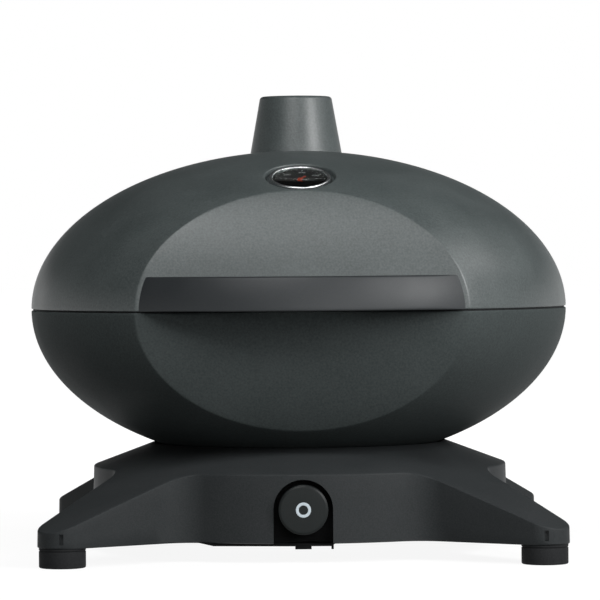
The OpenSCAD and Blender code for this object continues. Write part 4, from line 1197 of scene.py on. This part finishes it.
# %% Igniter
IGNITER_R, WIRE_R, WIRE_RISE, WIRE_L = 3.5, 1.0, 6, 12
igniter_low, igniter_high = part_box("igniter")
igniter_x, igniter_y = BOWL_HOLES[2][1:]
igniter_a = math.atan2(igniter_y, igniter_x)
insulator_l = (igniter_high.z - igniter_low.z) / MM - WIRE_RISE
at_igniter = at(igniter_x, igniter_y, igniter_low.z / MM)
insulator = lathe([(0, 0), (IGNITER_R - 0.6, 0, 0.3), (IGNITER_R - 0.6, 8, 0.3), (IGNITER_R, 8, 0.3),
                   (IGNITER_R, insulator_l - 6, 0.6), (IGNITER_R - 1, insulator_l - 5, 0.5),
                   (IGNITER_R - 1, insulator_l, 0.6), (0, insulator_l)], at_igniter, 48)
new_piece("igniter_insulator", insulator, igniter_ceramic, "igniter")
bend_z = insulator_l + WIRE_RISE - WIRE_R
wire = rod(WIRE_R, WIRE_RISE, at_igniter @ at(0, 0, insulator_l - 1), 24)
to_burner = Matrix.Rotation(igniter_a, 4, "Z") @ Matrix.Rotation(-math.pi / 2, 4, "Y")
tip = lathe([(0, -WIRE_R), (WIRE_R, -WIRE_R, 0.8), (WIRE_R, WIRE_L, 0.3), (0, WIRE_L)],
            at_igniter @ at(0, 0, bend_z) @ to_burner, 24)
new_piece("igniter_wire", join(wire, tip), burner_steel, like="igniter", slot="burner_steel")

# %% [markdown]
# ## Pieces of plain shape
# Hinge leaves, valve, tray, rails, shield and burner already have their full shape in the frame, but a CAD
# edge is mathematically sharp and looks drawn. Each gets a copy whose doubles are merged, whose flat faces
# are joined, and whose sharp edges are rounded a little, as casting, pressing or tumbling does to real ones.

# %% Copies with rounded edges
def soften(bm, edge_mm):
    """Rounds every sharp edge."""
    sharp = [e for e in bm.edges if e.is_manifold and e.calc_face_angle() > math.radians(50)]
    return round_off(bm, sharp, edge_mm)


def softened(node, edge_mm):
    """A copy of a CAD node with its flat faces joined and its sharp edges rounded."""
    bm = bmesh.new()
    bm.from_mesh(frame["nodes"][node].data)
    bmesh.ops.remove_doubles(bm, verts=bm.verts, dist=1e-6)
    bmesh.ops.dissolve_limit(bm, angle_limit=math.radians(0.3), verts=bm.verts[:], edges=bm.edges[:])
    return soften(bm, edge_mm) if edge_mm else bm


for name, node, finish, edge_mm in (
        ("lid_hinge_leaf", "lid_hinge", powder_coat, 0.8),
        ("bowl_hinge_leaf", "bowl_hinge", shade_darkened_bowl_coat, 0.8),
        ("rim_gasket", "bowl_gasket", foot_rubber, 0.2),
        ("flue_collar", "chimney_ring", sheet_steel, 0.3),
        ("thermometer_probe", "thermo_stem", screw_steel, 0.3),
        ("thermometer_nut", "thermo_nut", screw_steel, 0.4),
        ("shield_sheet", "heat_shield", sheet_steel, 0.3),
        ("valve_casting", "valve_body", valve_brass, 0.8),
        ("valve_jet", "gas_jet", valve_brass, 0.1),
        ("valve_pipe", "gas_pipe", screw_steel, 0.2),
        ("plunger_rod", "valve_plunger", valve_brass, 0.3),
        ("knob_shaft", "knob_stem", screw_steel, 0.3),
        ("tray_rail_bent_left", "tray_rail_left", sheet_steel, 0.4),
        ("tray_rail_bent_right", "tray_rail_right", sheet_steel, 0.4),
        ("drip_tray_pan", "drip_tray", sheet_steel, 0.5),
        ("mixing_tube", "venturi", burner_steel, 0.2),
        ("ring_burner", "burner_ring", burner_steel, 0),
        ("burner_stand_1", "burner_post_1", burner_steel, 0.2),
        ("burner_stand_2", "burner_post_2", burner_steel, 0.2),
        ("burner_stand_3", "burner_post_3", burner_steel, 0.2)):
    new_piece(name, softened(node, edge_mm), finish, node)

# %% [markdown]
# ## Bracket
# The valve's bracket is pressed sheet, and its lip shows under the front wall. The left end of the lip is cut
# at a slant, bent up to the wall and drawn back under the wall's curve, and the plate's free corner on the
# right is cut off. A tongue stands in the shield's notch and wings widen it under the shield: near-black
# sheet put there as painted shade, so that the arch round the knob is dark behind.

# %% Bracket
SLANT, BEND, CORNER_UP, LIP_BACK_Y = 13 * MM, 1 * MM, 4 * MM, -168 * MM
PLATE_Y, PLATE_T, TONGUE_HALF_W, TONGUE_H, WING_X = -161 * MM, 1.8 * MM, 30.5 * MM, 11 * MM, 70 * MM
SHEET_EDGE = 0.4
bracket_low, bracket_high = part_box("valve_bracket")
bracket = softened("valve_bracket", 0)
for vert in bracket.verts:
    under = vert.co.z < base_z - 2 * MM
    if vert.co.x < bracket_low.x + 1 * MM:
        vert.co += Vector((SLANT, 0, 0)) if under else Vector((0, 0, BEND))
        vert.co.y = max(vert.co.y, LIP_BACK_Y)
    elif vert.co.x > bracket_high.x - 1 * MM and under:
        vert.co.z += CORNER_UP
soften(bracket, SHEET_EDGE)
# Tongue and wings: near-black sheet as painted shade behind the arch round the knob
join(bracket, rounded_bar((-TONGUE_HALF_W, PLATE_Y, bracket_high.z - 1 * MM),
                          (TONGUE_HALF_W, PLATE_Y + PLATE_T, bracket_high.z + TONGUE_H), SHEET_EDGE))
for left, right in ((-WING_X, -bracket_high.x + 1 * MM), (bracket_high.x - 1 * MM, WING_X)):
    join(bracket, rounded_bar((left, PLATE_Y + 0.1 * MM, base_z + 1 * MM),
                              (right, PLATE_Y + PLATE_T, bracket_high.z - 0.1 * MM), SHEET_EDGE))
new_piece("bracket_sheet_and_painted_arch_shade", bracket, black_sheet_and_arch_shade, "valve_bracket")

# %% [markdown]
# ## Floor, world and light
# The photograph's ground is white. The floor glows for what the camera sees, directly or in a reflection, and
# its paper still takes the grill's shadow. The world is a studio with white walls near the horizon and a dim
# ceiling. Gloss and glass show those walls too, but only the soft boxes light the grill, at a plain level.

# %% Rays that see the white ground
def seen_rays(tree):
    """One where a camera, glossy or transmission ray arrives, and zero for other rays."""
    path = add(tree, "LightPath")
    shiny = add(tree, "Math", {0: path.outputs["Is Camera Ray"], 1: path.outputs["Is Glossy Ray"]},
                operation="MAXIMUM")
    return add(tree, "Math", {0: shiny.outputs["Value"], 1: path.outputs["Is Transmission Ray"]},
               operation="MAXIMUM").outputs["Value"]


# %% Floor
NEAR_FLOOR, FAR_FLOOR, NEAR_GLOW = 0.35, 1.6, 0.9
FLOOR_SIZE = 20
floor_bm = bmesh.new()
bmesh.ops.create_grid(floor_bm, x_segments=1, y_segments=1, size=FLOOR_SIZE)
floor_mesh = bpy.data.meshes.new("floor")
floor_bm.to_mesh(floor_mesh)
floor_bm.free()
floor = bpy.data.objects.new("floor", floor_mesh)
bpy.context.scene.collection.objects.link(floor)

floor_paper = bpy.data.materials.new("white_paper_floor")
floor_tree = cleared(floor_paper)
paper = add(floor_tree, "BsdfDiffuse", {"Color": linear("#5c5c5c")})
place = add(floor_tree, "TexCoord").outputs["Object"]
away = add(floor_tree, "VectorMath", {0: place}, operation="LENGTH").outputs["Value"]
level = add(floor_tree, "MapRange", {"Value": away, "From Min": NEAR_FLOOR, "From Max": FAR_FLOOR,
                                     "To Min": NEAR_GLOW, "To Max": 1.0}, interpolation_type="SMOOTHSTEP")
strength = add(floor_tree, "Math", {0: level.outputs["Result"], 1: seen_rays(floor_tree)},
               operation="MULTIPLY")
glow = add(floor_tree, "Emission", {"Color": linear("#ffffff"), "Strength": strength.outputs["Value"]})
shown = add(floor_tree, "AddShader", {0: paper.outputs["BSDF"], 1: glow.outputs["Emission"]})
add(floor_tree, "OutputMaterial", {"Surface": shown.outputs["Shader"]})
floor_mesh.materials.append(floor_paper)
print("Floor:", floor_paper.name)

# %% World
WALL_TOP = math.sin(math.radians(6))
CEILING = math.sin(math.radians(12))
CEILING_LEVEL = 0.03
world = bpy.data.worlds.new("studio")
bpy.context.scene.world = world
world_tree = cleared(world)
direction = add(world_tree, "TexCoord").outputs["Generated"]
rise = add(world_tree, "SeparateXYZ", {"Vector": direction}).outputs["Z"]
level = add(world_tree, "MapRange", {"Value": rise, "From Min": WALL_TOP, "From Max": CEILING, "To Min": 1.0,
                                     "To Max": CEILING_LEVEL}, interpolation_type="SMOOTHSTEP")
strength = add(world_tree, "Mix", {"Factor": seen_rays(world_tree), "A": CEILING_LEVEL,
                                   "B": level.outputs["Result"]})
walls = add(world_tree, "Background", {"Color": linear("#ffffff"), "Strength": strength.outputs["Result"]})
add(world_tree, "OutputWorld", {"Surface": walls.outputs["Background"]})
print("World:", world.name)

# %% Soft boxes
LAMP_AIM = Vector((0, 0, 0.25))


def soft_box(name, azimuth, elevation, distance, width, height, watts):
    """A rectangular area lamp that looks at the grill. Azimuth counts from the camera to the right."""
    lamp = bpy.data.lights.new(name, "AREA")
    lamp.shape = "RECTANGLE"
    lamp.size = width
    lamp.size_y = height
    lamp.energy = watts
    light = bpy.data.objects.new(name, lamp)
    bpy.context.scene.collection.objects.link(light)
    turn, lift = math.radians(azimuth), math.radians(elevation)
    away = Vector((math.sin(turn) * math.cos(lift), -math.cos(turn) * math.cos(lift), math.sin(lift)))
    facing = (-away).to_track_quat("-Z", "Y")
    light.matrix_world = Matrix.Translation(LAMP_AIM + away * distance) @ facing.to_matrix().to_4x4()
    print(name, "at", [round(c, 2) for c in light.matrix_world.translation])
    return light


soft_box("front_box", -14, 43, 2.2, 0.9, 0.9, 27)
soft_box("right_front_box", 49, 22, 2.2, 0.9, 1.0, 50)
soft_box("right_box", 92, 37, 2.2, 0.6, 0.8, 9)
soft_box("low_front_box", 12, 6, 2.2, 1.0, 0.5, 11)
# The fills are bounced light: they brighten the back and the left, but no gloss shows their shape
for fill in (soft_box("back_fill", 178, 22, 2.4, 1.6, 0.8, 30),
             soft_box("left_fill", -125, 22, 2.4, 1.2, 0.8, 10)):
    fill.visible_glossy = False

# %% View transform
bpy.context.scene.view_settings.view_transform = "Standard"
